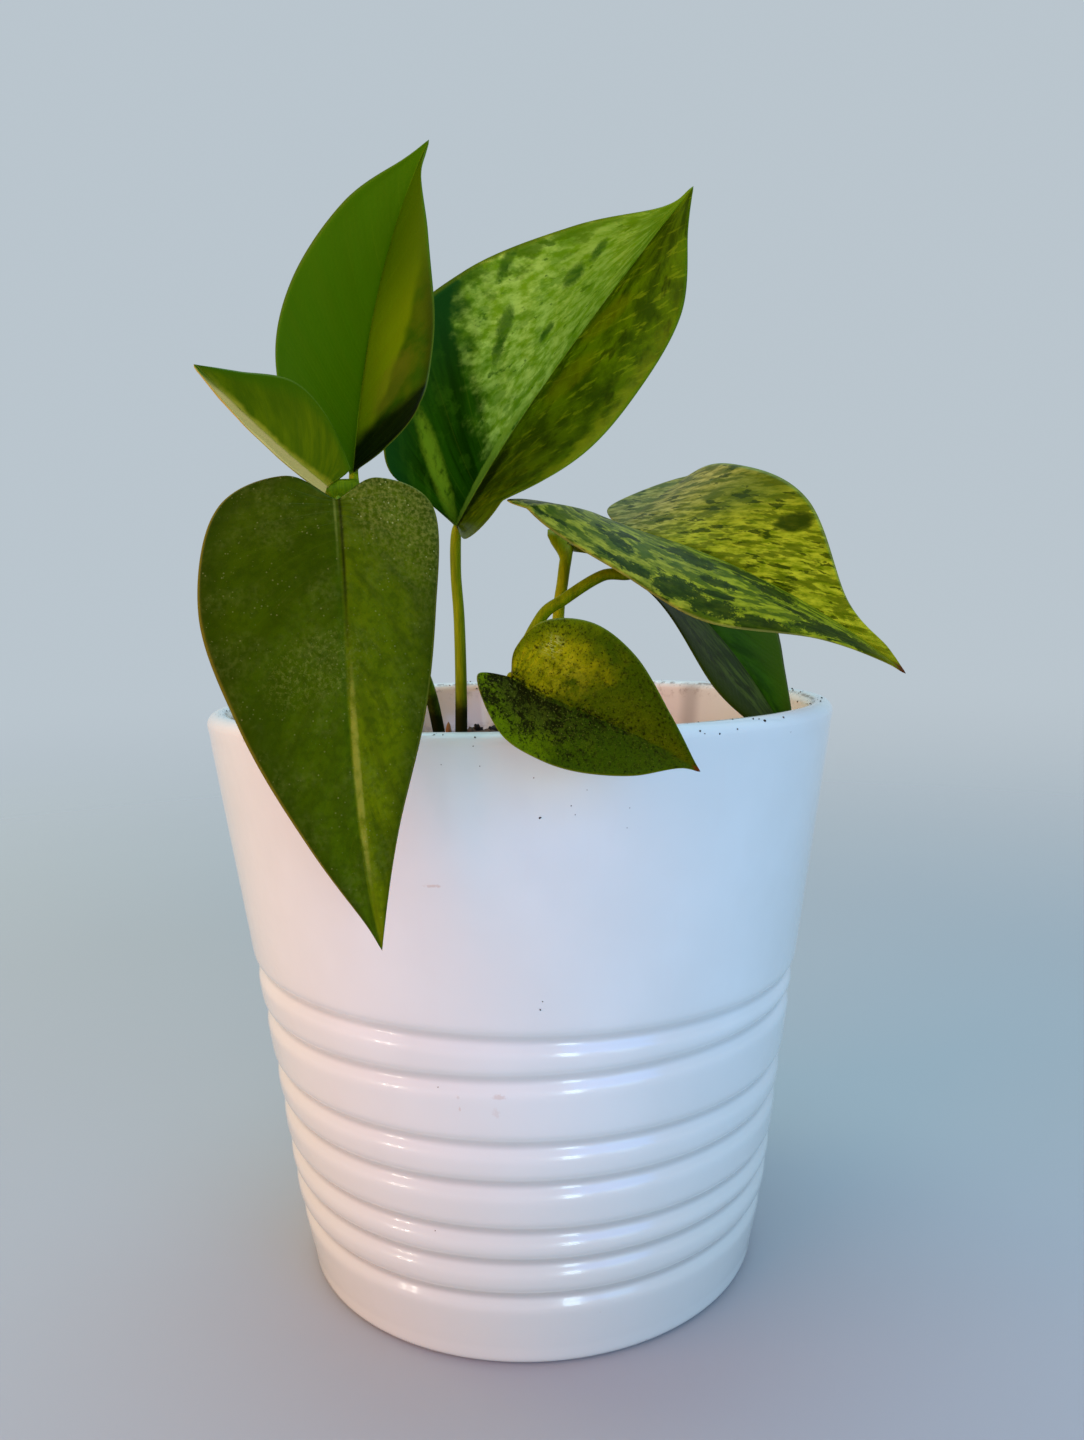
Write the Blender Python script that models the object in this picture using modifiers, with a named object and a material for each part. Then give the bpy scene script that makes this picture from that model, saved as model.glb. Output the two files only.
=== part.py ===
"""A potted pothos: seven heart-shaped leaves on thin stalks in a white pot with turned grooves.

The plant's front looks along -Y, +Z is up, and the origin is the middle of the pot's underside.
Lengths below are millimetres and angles are degrees. Blender gets metres.
"""

import math
from dataclasses import dataclass

import bmesh
import bpy
import numpy as np
from mathutils import Vector

MM = 0.001
GAP = 0.3

POT_HEIGHT = 127.5
POT_RADIUS = 70.0
FOOT_RADIUS = 51.5
WALL = 5.0
FLOOR = 6.0
LIP_RADIUS = WALL / 2
FOOT_ROUNDING = 2.0
TAPER = ((0.0, FOOT_RADIUS), (19.0, 55.5), (44.5, 58.5), (76.5, 63.0), (POT_HEIGHT - LIP_RADIUS, POT_RADIUS))
GROOVES = (71.0, 63.0, 49.5, 41.0, 31.0, 24.0, 16.5)
GROOVE_DEPTH = 0.9
SHOULDER = 3.0
TURNED_STEPS = 48

SOIL_TOP = 112.0
SOIL_RINGS = (12.0, 24.0, 36.0, 48.0, 57.0)
CLUMP_CENTRE = (-9.0, 36.0)
CLUMP_RADIUS = 10.0
CLUMP_HEIGHT = 5.0
HOLE_DEPTH = 6.0
HOLE_CLEARANCE = 0.6

BLADE_THICKNESS = 0.8
BLADE_ROWS = 12
BLADE_COLUMNS = 5
STATIONS = (0.0, 0.25, 0.5, 0.75, 0.92)
VEIN_LEAN = 1.5
VEIN_BEND = 1.4
SMOOTH_STEPS = 24


@dataclass(frozen=True)
class Half:
    """One half of a blade: its outline laid flat, and how it rises from the flat.

    lobe is how far the half reaches behind its stalk, lobe_breadth its breadth there, and
    breadths are its breadths at STATIONS along the midrib. fold is the angle at the midrib, at
    the base and at the tip, and curl is the further bend on the way to the edge.
    """

    lobe: float
    lobe_breadth: float
    breadths: tuple
    fold: tuple
    curl: float


@dataclass(frozen=True)
class Blade:
    """A leaf's blade: the Bezier points of its midrib, where its upper face looks, and two halves."""

    name: str
    midrib: tuple
    face: tuple
    twist: float
    left: Half
    right: Half
    material: str


@dataclass(frozen=True)
class Stalk:
    """A round stem or leaf stalk along a smooth route, thinning from its first radius to its last."""

    name: str
    route: tuple
    radii: tuple
    rooted: bool
    material: str


BLADES = (
    Blade(
        "leaf_hanging",
        midrib=((-28.5, -75.5, 166), (-26, -84.5, 144), (-28, -84.5, 120.5), (-23, -85, 96.5)),
        face=(14, 2),
        twist=-2,
        left=Half(4.5, 7, (16, 15, 12, 6, 2), fold=(-4, 0), curl=-13),
        right=Half(5, 8, (19, 22, 16.5, 8, 2), fold=(-6, 1), curl=-10),
        material="leaf_olive",
    ),
    Blade(
        "leaf_upright",
        midrib=((-29, -53.5, 173), (-29.5, -37.5, 189.5), (-26.5, -38, 213.5), (-14.5, -41.5, 234.5)),
        face=(5, 14),
        twist=-2,
        left=Half(3, 6.5, (15, 19, 17.5, 11, 3), fold=(48, 36), curl=-3),
        right=Half(2, 10, (19.5, 20, 17.5, 10, 1.5), fold=(50, 37), curl=4),
        material="leaf_green",
    ),
    Blade(
        "leaf_young",
        midrib=((-32, -63, 169.5), (-39, -64.5, 175.5), (-46, -68.5, 182.5), (-49.5, -77, 187)),
        face=(37, 34),
        twist=-6,
        left=Half(0, 4.5, (6.5, 10, 9.5, 5, 2), fold=(26, 23), curl=20),
        right=Half(1, 4.5, (6, 10, 10.5, 5, 1.5), fold=(25, 24), curl=-1),
        material="leaf_green",
    ),
    Blade(
        "leaf_tall",
        midrib=((-14, 3.5, 167.5), (-1, 14, 193), (20.5, 7.5, 217.5), (41, -0.5, 241)),
        face=(-26, -28),
        twist=-2,
        left=Half(0.5, 12.5, (25.5, 38.5, 32.5, 17.5, 4), fold=(58, 28), curl=-7),
        right=Half(6.5, 13.5, (26, 30, 27.5, 20.5, 6), fold=(57, 29), curl=2),
        material="leaf_marbled",
    ),
    Blade(
        "leaf_arching",
        midrib=((22, -12, 165.5), (37, -30, 160.5), (57.5, -36.5, 150), (75.5, -40.5, 134)),
        face=(38, 25),
        twist=8,
        left=Half(10, 8, (23.5, 24.5, 21, 5.5, 2), fold=(26, 20), curl=7),
        right=Half(12.5, 20, (26.5, 24.5, 23, 9.5, 2.5), fold=(27, 18), curl=-36),
        material="leaf_marbled",
    ),
    Blade(
        "leaf_small",
        midrib=((-1.5, -81.5, 137.5), (7.5, -77.5, 132), (19, -80, 128.5), (27.5, -85, 122.5)),
        face=(0, 19),
        twist=-2,
        left=Half(2, 4.5, (10.5, 13.5, 11.5, 5.5, 1.5), fold=(23, 19), curl=-4),
        right=Half(5, 4.5, (10.5, 11.5, 10.5, 7, 1.5), fold=(23, 19), curl=-3),
        material="leaf_lime",
    ),
    Blade(
        "leaf_drooping",
        midrib=((13, 5, 163.5), (37.5, 7.5, 156.5), (49, -7, 139.5), (59.5, -18, 116)),
        face=(61, 28),
        twist=31,
        left=Half(6.5, 2, (4, 22.5, 21, 9.5, 3), fold=(16, 13), curl=-4),
        right=Half(1.5, 4, (7, 20.5, 18, 14, 5), fold=(21, 10), curl=-3),
        material="leaf_dark",
    ),
)

ROOT = SOIL_TOP - HOLE_DEPTH + GAP

STALKS = (
    Stalk(
        "vine_stem",
        (
            (-17, -15, ROOT),
            (-17, -15, 113),
            (-18.9, -24, 130.5),
            (-22, -36, 142),
            (-26, -48, 152),
            (-28, -55, 158),
        ),
        radii=(1.6, 1.4),
        rooted=True,
        material="stalk_olive",
    ),
    Stalk(
        "stalk_hanging",
        (
            (-28.2, -55.8, 158.6),
            (-28.6, -59, 162),
            (-28.8, -65, 166.5),
            (-28.6, -71, 168),
            (-28.5, -74.4, 167.2),
        ),
        radii=(1.2, 0.9),
        rooted=False,
        material="stalk_olive",
    ),
    Stalk(
        "stalk_upright",
        (
            (-27.2, -49.3, 156.4),
            (-28.2, -50, 162),
            (-29, -51.5, 168),
            (-29, -53, 171.9),
        ),
        radii=(1.2, 0.9),
        rooted=False,
        material="stalk_olive",
    ),
    Stalk(
        "stalk_young",
        (
            (-30.2, -53, 157),
            (-31.5, -55, 161),
            (-32.2, -59, 165.5),
            (-31.9, -62, 168.6),
        ),
        radii=(1.0, 0.8),
        rooted=False,
        material="stalk_olive",
    ),
    Stalk(
        "stalk_tall",
        (
            (-14.5, 3, ROOT),
            (-14.5, 3, 113),
            (-14, 2, 130),
            (-14, 2.5, 146),
            (-14.5, 3.2, 157),
            (-14.2, 3.8, 166),
        ),
        radii=(1.6, 1.2),
        rooted=True,
        material="stalk_olive",
    ),
    Stalk(
        "stalk_arching",
        (
            (-1.5, -15, ROOT),
            (-1.5, -15, 113),
            (-0.6, -15, 134),
            (4.5, -16, 146),
            (9.8, -17, 150.2),
            (18, -18, 155),
            (24, -18, 155.3),
            (26.5, -15.5, 159),
            (23.4, -12.5, 164),
        ),
        radii=(1.4, 1.0),
        rooted=True,
        material="stalk_olive",
    ),
    Stalk(
        "stalk_small",
        (
            (-0.5, -45, ROOT),
            (-0.5, -45, 113),
            (-0.5, -50, 125),
            (-0.5, -59, 133),
            (-0.5, -70, 136.5),
            (-1.4, -80.4, 137.6),
        ),
        radii=(1.2, 0.8),
        rooted=True,
        material="stalk_yellow",
    ),
    Stalk(
        "stalk_drooping",
        (
            (8.5, -2, ROOT),
            (8.5, -2, 113),
            (8.2, -2, 135),
            (8.6, -1, 150),
            (9.4, 1, 158),
            (11.8, 3.7, 162.3),
        ),
        radii=(1.5, 1.0),
        rooted=True,
        material="stalk_yellow",
    ),
)

MATERIALS = {
    "glaze_white": ((0.86, 0.87, 0.90), 0.2),
    "potting_soil": ((0.035, 0.022, 0.014), 0.95),
    "leaf_olive": ((0.045, 0.085, 0.012), 0.45),
    "leaf_green": ((0.060, 0.170, 0.008), 0.4),
    "leaf_marbled": ((0.170, 0.260, 0.060), 0.45),
    "leaf_lime": ((0.160, 0.230, 0.010), 0.45),
    "leaf_dark": ((0.025, 0.090, 0.015), 0.45),
    "stalk_olive": ((0.150, 0.170, 0.020), 0.5),
    "stalk_yellow": ((0.260, 0.230, 0.025), 0.5),
}


def clear_scene():
    """Removes every object, so that the model starts from nothing."""
    for old in list(bpy.data.objects):
        bpy.data.objects.remove(old, do_unlink=True)


def new_collection(name):
    """Links an empty collection to the scene and returns it."""
    collection = bpy.data.collections.new(name)
    bpy.context.scene.collection.children.link(collection)
    return collection


def new_material(name):
    """Makes a plain Principled material from its row in MATERIALS."""
    colour, roughness = MATERIALS[name]
    material = bpy.data.materials.new(name)
    material.use_nodes = True
    shader = material.node_tree.nodes["Principled BSDF"]
    shader.inputs["Base Color"].default_value = (*colour, 1.0)
    shader.inputs["Roughness"].default_value = roughness
    shader.inputs["Metallic"].default_value = 0.0
    return material


def add_object(name, data, collection, material=None):
    """Places new data in a collection as one named object."""
    obj = bpy.data.objects.new(name, data)
    collection.objects.link(obj)
    if material is not None:
        data.materials.append(material)
    return obj


def taper_radius(height):
    """The pot's outer radius at a height, without its grooves."""
    heights, radii = zip(*TAPER)
    return float(np.interp(height, heights, radii))


def arc(centre_radius, centre_height, radius, start, end, steps):
    """Points of a round corner in the turned profile."""
    angles = [math.radians(start + (end - start) * k / steps) for k in range(steps + 1)]
    return [(centre_radius + radius * math.cos(a), centre_height + radius * math.sin(a)) for a in angles]


def groove_points():
    """The grooved part of the outer wall from top to bottom: rounded bands between sharp valleys."""
    edges = (GROOVES[0] + 2 * SHOULDER, *GROOVES, GROOVES[-1] - 2 * SHOULDER)
    points = []
    for number, (upper, lower) in enumerate(zip(edges, edges[1:])):
        first = number == 0
        last = number == len(GROOVES)
        for part in (0.0, 0.15, 0.5, 0.85):
            bulge = math.sin(math.pi * part) ** 0.6
            if first:
                bulge = math.cos(math.pi * part / 2) ** 0.6
            if last:
                bulge = math.sin(math.pi * part / 2) ** 0.6
            height = upper + (lower - upper) * part
            points.append((taper_radius(height) - GROOVE_DEPTH * (1 - bulge), height))
    return points


def pot_profile():
    """Half section of the pot: over the floor, up the inner wall, over the lip and down outside."""
    corner = 3.0
    floor_radius = taper_radius(FLOOR + corner) - WALL
    lip_centre = (POT_RADIUS - LIP_RADIUS, POT_HEIGHT - LIP_RADIUS)
    inner = [(0.0, FLOOR)] + arc(floor_radius - corner, FLOOR + corner, corner, -90, 0, 2)
    inner += [(radius - WALL, height) for height, radius in TAPER[1:-1]]
    lip = arc(*lip_centre, LIP_RADIUS, 180, 0, 6)
    foot_height = GROOVES[-1] - 2 * SHOULDER
    foot = [(taper_radius(foot_height), foot_height)]
    foot += arc(taper_radius(FOOT_ROUNDING) - FOOT_ROUNDING, FOOT_ROUNDING, FOOT_ROUNDING, 0, -90, 3)
    return inner + lip + groove_points() + foot + [(0.0, 0.0)]


def soil_profile():
    """Half section of the soil, which fills the pot with a hair's gap: top, side and underside."""
    corner_height = TAPER[1][0]
    side_heights = (SOIL_TOP, TAPER[3][0], TAPER[2][0], corner_height, FLOOR + 4.0)
    side = [(taper_radius(height) - WALL - GAP, height) for height in side_heights]
    bottom = FLOOR + GAP
    top = [(0.0, SOIL_TOP)] + [(radius, SOIL_TOP) for radius in SOIL_RINGS]
    return top + side + [(side[-1][0] - 5.0, bottom), (0.0, bottom)]


def turned_mesh(name, profile):
    """A mesh line through (radius, height) pairs, for a Screw modifier to turn about Z."""
    mesh = bpy.data.meshes.new(name)
    points = [(radius * MM, 0.0, height * MM) for radius, height in profile]
    mesh.from_pydata(points, [(k, k + 1) for k in range(len(points) - 1)], [])
    return mesh


def turn(obj):
    """Adds the Screw modifier that makes the line a solid."""
    screw = obj.modifiers.new("turned", "SCREW")
    screw.axis = "Z"
    screw.steps = TURNED_STEPS
    screw.render_steps = TURNED_STEPS
    screw.use_merge_vertices = True
    screw.merge_threshold = 0.0001
    screw.use_smooth_shade = True


def make_pot(collection):
    """The pot, one turned shell with a flat underside."""
    pot = add_object("pot", turned_mesh("pot", pot_profile()), collection, new_material("glaze_white"))
    turn(pot)


def soil_rise(x, y):
    """How far the loose soil stands above its mean level at a place in millimetres."""
    ripple = math.sin(0.21 * x + 0.4) * math.cos(0.17 * y - 0.3) + 0.5 * math.sin(0.33 * y + 0.23 * x)
    away = math.hypot(x - CLUMP_CENTRE[0], y - CLUMP_CENTRE[1]) / CLUMP_RADIUS
    return 0.8 * ripple + CLUMP_HEIGHT * math.exp(-away * away)


def make_soil(collection, cutters):
    """The soil: a turned plug with a bumpy top and a plain hole for each rooted stem."""
    turned = add_object("soil_turned", turned_mesh("soil_turned", soil_profile()), collection)
    turn(turned)
    depsgraph = bpy.context.evaluated_depsgraph_get()
    mesh = bpy.data.meshes.new_from_object(turned.evaluated_get(depsgraph))
    bpy.data.objects.remove(turned, do_unlink=True)
    mesh.name = "soil"
    for vertex in mesh.vertices:
        x, y, z = vertex.co / MM
        inside_edge = math.hypot(x, y) < SOIL_RINGS[-1] + GAP
        if inside_edge and z > SOIL_TOP - GAP:
            vertex.co.z += soil_rise(x, y) * MM
    soil = add_object("soil", mesh, collection, new_material("potting_soil"))
    for stalk in STALKS:
        if stalk.rooted:
            cut_hole(soil, stalk, cutters)


def cut_hole(soil, stalk, cutters):
    """Cuts the blind hole that a rooted stem stands in."""
    x, y, _ = stalk.route[0]
    depth = HOLE_DEPTH + 2 * CLUMP_HEIGHT
    mesh = bpy.data.meshes.new(f"hole_{stalk.name}")
    shape = bmesh.new()
    radius = (stalk.radii[0] + HOLE_CLEARANCE) * MM
    bmesh.ops.create_cone(shape, cap_ends=True, segments=12, radius1=radius, radius2=radius, depth=depth * MM)
    shape.to_mesh(mesh)
    shape.free()
    cutter = add_object(mesh.name, mesh, cutters)
    cutter.location = Vector((x, y, SOIL_TOP - HOLE_DEPTH + depth / 2)) * MM
    cutter.hide_render = True
    cutter.display_type = "WIRE"
    cut = soil.modifiers.new(mesh.name, "BOOLEAN")
    cut.operation = "DIFFERENCE"
    cut.object = cutter


def unit(vectors):
    """Vectors of length one, along the last axis."""
    return vectors / np.linalg.norm(vectors, axis=-1, keepdims=True)


def smooth_line(points, steps=SMOOTH_STEPS):
    """A Catmull-Rom curve through the points, with its ends kept."""
    points = np.array(points, float)
    padded = np.vstack([2 * points[0] - points[1], points, 2 * points[-1] - points[-2]])
    t = np.linspace(0, 1, steps, endpoint=False)[:, None]
    pieces = []
    for a, b, c, d in zip(padded, padded[1:], padded[2:], padded[3:]):
        cubic = -a + 3 * b - 3 * c + d
        square = 2 * a - 5 * b + 4 * c - d
        pieces.append(0.5 * (2 * b + (c - a) * t + square * t**2 + cubic * t**3))
    return np.vstack([*pieces, points[-1:]])


def along(line, fractions):
    """Points at fractions of a line's length."""
    steps = np.linalg.norm(np.diff(line, axis=0), axis=1)
    place = np.concatenate([[0], np.cumsum(steps)]) / steps.sum()
    return np.stack([np.interp(fractions, place, line[:, k]) for k in range(line.shape[1])], axis=-1)


class Spine:
    """The midrib's curve, with the way along it, out of the upper face and to the right."""

    def __init__(self, blade):
        t = np.linspace(0, 1, 2 * SMOOTH_STEPS)[:, None]
        base, pull, push, tip = np.array(blade.midrib, float)
        self.line = base * (1 - t) ** 3 + 3 * pull * t * (1 - t) ** 2 + 3 * push * t**2 * (1 - t) + tip * t**3
        slope = (pull - base) * (1 - t) ** 2 + 2 * (push - pull) * t * (1 - t) + (tip - push) * t**2
        self.forward = unit(slope)
        azimuth, elevation = np.radians(blade.face)
        level = np.cos(elevation)
        looks = np.array([np.sin(azimuth) * level, -np.cos(azimuth) * level, np.sin(elevation)])
        up = unit(looks - (self.forward @ looks)[:, None] * self.forward)
        steps = np.linalg.norm(np.diff(self.line, axis=0), axis=1)
        self.place = np.concatenate([[0], np.cumsum(steps)])
        self.length = self.place[-1]
        turn_angle = np.radians(blade.twist) * (self.place / self.length)[:, None]
        self.up = np.cos(turn_angle) * up + np.sin(turn_angle) * np.cross(self.forward, up)
        self.right = np.cross(self.forward, self.up)

    def at(self, vectors, distance):
        """Reads one of the spine's lines of vectors at distances from the base."""
        return np.stack([np.interp(distance, self.place, vectors[:, k]) for k in range(3)], axis=-1)


def half_outline(half, length, fractions):
    """Points (along, across) on the flat edge of a half, at fractions of the edge's length."""
    points = [(0, 0), (-half.lobe, half.lobe_breadth)]
    points += [(place * length, breadth) for place, breadth in zip(STATIONS, half.breadths)]
    points.append((length, 0))
    return along(smooth_line(points), fractions)


def raise_half(spine, half, greatest, side, distance, across):
    """Bends flat places of a half about the midrib and puts them in space."""
    inside = np.clip(distance, 0, spine.length)
    behind = np.minimum(distance, 0)[..., None] * spine.forward[0]
    fold = np.radians(np.interp(inside / spine.length, (0, 1), half.fold))
    bend = np.radians(half.curl or 0.01) / greatest
    out = (np.sin(fold + bend * across) - np.sin(fold)) / bend
    rise = (np.cos(fold) - np.cos(fold + bend * across)) / bend
    right = unit(spine.at(spine.right, inside))
    up = unit(spine.at(spine.up, inside))
    return spine.at(spine.line, inside) + behind + side * out[..., None] * right + rise[..., None] * up


def blade_grid(blade):
    """Rows of points from the left edge over the midrib to the right edge, between base and tip."""
    spine = Spine(blade)
    fractions = np.arange(1, BLADE_ROWS) / BLADE_ROWS
    roots = spine.length * fractions**VEIN_LEAN
    reach = np.arange(0, BLADE_COLUMNS + 1) / BLADE_COLUMNS
    greatest = max(blade.left.breadths + blade.right.breadths)
    sides = []
    for half, side in ((blade.left, -1), (blade.right, 1)):
        edge = half_outline(half, spine.length, fractions)
        distance = roots[:, None] + (edge[:, :1] - roots[:, None]) * reach**VEIN_BEND
        sides.append(raise_half(spine, half, greatest, side, distance, edge[:, 1:] * reach))
    return np.concatenate([sides[0][:, :0:-1], sides[1]], axis=1)


def blade_faces():
    """Triangles of the grid, split along the veins, with a fan at the base and one at the tip."""
    width = 2 * BLADE_COLUMNS + 1
    number = 1 + np.arange((BLADE_ROWS - 1) * width).reshape(-1, width)
    tip = number[-1, -1] + 1
    faces = []
    for column in range(width - 1):
        faces.append((0, number[0, column], number[0, column + 1]))
        faces.append((number[-1, column], tip, number[-1, column + 1]))
        for lower, upper in zip(number, number[1:]):
            a, b, c, d = lower[column], lower[column + 1], upper[column + 1], upper[column]
            faces += [(a, d, c), (a, c, b)] if column < BLADE_COLUMNS else [(a, d, b), (b, d, c)]
    return [tuple(int(corner) for corner in face) for face in faces]


def make_blade(blade, collection):
    """One leaf's blade: an open surface with an even thickness."""
    grid = blade_grid(blade)
    base, tip = np.array(blade.midrib[0], float), np.array(blade.midrib[-1], float)
    points = (np.vstack([base, grid.reshape(-1, 3), tip]) - base) * MM
    mesh = bpy.data.meshes.new(blade.name)
    mesh.from_pydata(points.tolist(), [], blade_faces())
    mesh.shade_smooth()
    leaf = add_object(blade.name, mesh, collection, new_material(blade.material))
    leaf.location = base * MM
    shell = leaf.modifiers.new("thickness", "SOLIDIFY")
    shell.thickness = BLADE_THICKNESS * MM
    shell.offset = 0.0
    shell.use_even_offset = True


def make_stalk(stalk, collection):
    """One stem or leaf stalk: a round tube along its smooth route."""
    curve = bpy.data.curves.new(stalk.name, "CURVE")
    curve.dimensions = "3D"
    curve.bevel_depth = MM
    curve.bevel_resolution = 2
    curve.use_fill_caps = True
    start = np.array(stalk.route[0], float)
    count = 2 * len(stalk.route)
    route = along(smooth_line(stalk.route), np.linspace(0, 1, count)) - start
    radii = np.linspace(*stalk.radii, count)
    spline = curve.splines.new("POLY")
    spline.points.add(count - 1)
    for point, place, radius in zip(spline.points, route, radii):
        point.co = (*(place * MM), 1.0)
        point.radius = radius
    tube = add_object(stalk.name, curve, collection, new_material(stalk.material))
    tube.location = start * MM


def main():
    clear_scene()
    plant = new_collection("potted_pothos")
    cutters = new_collection("cutters")
    make_pot(plant)
    make_soil(plant, cutters)
    for stalk in STALKS:
        make_stalk(stalk, plant)
    for blade in BLADES:
        make_blade(blade, plant)


main()
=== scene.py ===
# %% [markdown]
# # A potted pothos
#
# This lesson dresses a small house plant: seven heart-shaped leaves on thin stalks, in a white
# pot with turned grooves. Its plain solids are loaded first, as a fixed frame that gives every
# place and size. Each solid is then replaced by a finer piece of the same form, with a finish
# made from shader nodes. Lengths in the design values are millimetres and angles are degrees,
# as a maker would write them, and Blender gets metres.

import math
from dataclasses import dataclass

import bmesh
import bpy
import numpy as np
from mathutils import Matrix, Vector


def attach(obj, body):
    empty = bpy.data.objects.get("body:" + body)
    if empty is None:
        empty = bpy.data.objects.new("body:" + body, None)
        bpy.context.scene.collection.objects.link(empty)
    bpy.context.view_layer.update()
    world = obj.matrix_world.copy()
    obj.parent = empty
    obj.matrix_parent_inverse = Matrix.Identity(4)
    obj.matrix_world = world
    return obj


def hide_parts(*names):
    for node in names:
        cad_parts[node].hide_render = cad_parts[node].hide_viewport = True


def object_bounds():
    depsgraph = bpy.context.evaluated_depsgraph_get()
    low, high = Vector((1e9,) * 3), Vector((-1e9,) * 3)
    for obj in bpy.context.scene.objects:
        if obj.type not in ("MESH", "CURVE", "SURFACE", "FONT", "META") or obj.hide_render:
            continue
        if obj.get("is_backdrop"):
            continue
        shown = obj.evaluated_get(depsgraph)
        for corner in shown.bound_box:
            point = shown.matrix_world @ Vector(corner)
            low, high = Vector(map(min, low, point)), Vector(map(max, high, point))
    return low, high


MM = 0.001

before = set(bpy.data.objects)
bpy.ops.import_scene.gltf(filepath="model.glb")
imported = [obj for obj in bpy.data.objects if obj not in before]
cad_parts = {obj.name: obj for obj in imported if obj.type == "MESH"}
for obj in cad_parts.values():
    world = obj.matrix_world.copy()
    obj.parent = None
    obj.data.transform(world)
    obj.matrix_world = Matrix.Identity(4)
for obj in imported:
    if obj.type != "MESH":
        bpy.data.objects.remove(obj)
CAD_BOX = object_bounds()
print("nodes:", len(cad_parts), "box:", [tuple(round(side, 4) for side in corner) for corner in CAD_BOX])

# %% [markdown]
# ## The camera
#
# The photograph was taken from close by, a little above the rim, and looks slightly down. A
# camera that is close makes the rim wider than the foot, so its distance matters as much as its
# direction. Blender can aim a camera with a constraint, but here the view also leans a little,
# so its three axes are worked out and written into its matrix.

# %% Place the camera
CAMERA_PLACE = Vector((0.0, -249.2, 147.9)) * MM
CAMERA_TURN = 1.09
CAMERA_DROP = 5.83
CAMERA_LEAN = -1.25
SENSOR = 36.0
PHOTO_HEIGHT = 1440
FOCAL_PIXELS = 1073.8


def camera_axes(turn, drop, lean):
    """The camera's right, up and backward axes, from its turn to the right, its drop and its lean."""
    turn, drop, lean = (math.radians(angle) for angle in (turn, drop, lean))
    level = math.cos(drop)
    forward = Vector((math.sin(turn) * level, math.cos(turn) * level, -math.sin(drop)))
    right = Vector((math.cos(turn), -math.sin(turn), 0.0))
    up = right.cross(forward)
    leaned_right = math.cos(lean) * right + math.sin(lean) * up
    leaned_up = math.cos(lean) * up - math.sin(lean) * right
    return leaned_right, leaned_up, -forward


def add_camera():
    """A camera with the photograph's place, direction and angle of view."""
    data = bpy.data.cameras.new("camera")
    data.sensor_width = SENSOR
    data.lens = SENSOR * FOCAL_PIXELS / PHOTO_HEIGHT
    data.clip_start = 0.01
    camera = bpy.data.objects.new("camera", data)
    bpy.context.scene.collection.objects.link(camera)
    turned = Matrix(camera_axes(CAMERA_TURN, CAMERA_DROP, CAMERA_LEAN)).transposed()
    camera.matrix_world = Matrix.Translation(CAMERA_PLACE) @ turned.to_4x4()
    bpy.context.scene.camera = camera
    return camera


camera = add_camera()
print("lens:", round(camera.data.lens, 2), "mm at", tuple(round(side, 3) for side in camera.location))

# %% [markdown]
# ## Shader sums in Python
#
# A finish is a small sum: so much dark green where this noise is high, so much dust where that
# mask is. In the node editor such a sum is a web of Math nodes. Here one class wraps a node's
# output, and Python's operators on it add the nodes, so that the sum can be read as it is meant.

# %% A class for shader values
class Shade:
    """A node's output in a material. The operators on it add Math nodes."""

    def __init__(self, tree, socket=None):
        self.tree = tree
        self.socket = socket

    def node(self, kind, settings=None, sockets=None, output=0):
        """Adds a node: first its settings, then the value or link of each socket."""
        made = self.tree.nodes.new(kind)
        for name, value in (settings or {}).items():
            setattr(made, name, value)
        for name, value in (sockets or {}).items():
            if isinstance(value, Shade):
                self.tree.links.new(value.socket, made.inputs[name])
            else:
                made.inputs[name].default_value = value
        return Shade(self.tree, made.outputs[output])

    def maths(self, operation, *values):
        return self.node("ShaderNodeMath", {"operation": operation}, dict(enumerate(values)))

    def vector_maths(self, operation, *values):
        return self.node("ShaderNodeVectorMath", {"operation": operation}, dict(enumerate(values)))

    def __add__(self, other):
        return self.maths("ADD", self, other)

    def __radd__(self, other):
        return self.maths("ADD", other, self)

    def __sub__(self, other):
        return self.maths("SUBTRACT", self, other)

    def __rsub__(self, other):
        return self.maths("SUBTRACT", other, self)

    def __mul__(self, other):
        return self.maths("MULTIPLY", self, other)

    def __rmul__(self, other):
        return self.maths("MULTIPLY", other, self)

    def __truediv__(self, other):
        return self.maths("DIVIDE", self, other)

    def __rtruediv__(self, other):
        return self.maths("DIVIDE", other, self)

    def __abs__(self):
        return self.maths("ABSOLUTE", self)

    def most(self, other):
        return self.maths("MAXIMUM", self, other)

    def rise(self, low, high):
        """A soft step: 0 below low, 1 above high. It falls instead where low is the greater."""
        sockets = {"Value": self, "From Min": low, "From Max": high}
        return self.node("ShaderNodeMapRange", {"interpolation_type": "SMOOTHSTEP"}, sockets)

    def bell(self, centre, width):
        """A soft bump of height 1 at centre, gone one width away."""
        return abs(self - centre).rise(width, 0.0)

    def part(self, axis):
        return self.node("ShaderNodeSeparateXYZ", sockets={0: self}, output=axis)

    def length(self):
        return self.node("ShaderNodeVectorMath", {"operation": "LENGTH"}, {0: self}, output="Value")

    def stretched(self, *factors):
        return self.vector_maths("MULTIPLY", self, factors)

    def shifted(self, *steps):
        return self.vector_maths("ADD", self, steps)

    def noise(self, scale, detail=2.0, roughness=0.5):
        """Soft noise from about 0.3 to 0.7, read at this vector."""
        sockets = {"Vector": self, "Scale": scale, "Detail": detail, "Roughness": roughness}
        return self.node("ShaderNodeTexNoise", sockets=sockets)

    def cells(self, scale):
        """Distance to the nearest of many scattered points."""
        return self.node("ShaderNodeTexVoronoi", sockets={"Vector": self, "Scale": scale}, output="Distance")

    def pick(self, first, second):
        """Mixes two colours by this value: 0 gives the first and 1 the second."""
        settings = {"data_type": "RGBA"}
        return self.node("ShaderNodeMix", settings, {0: self, 6: first, 7: second}, output=2)


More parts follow.
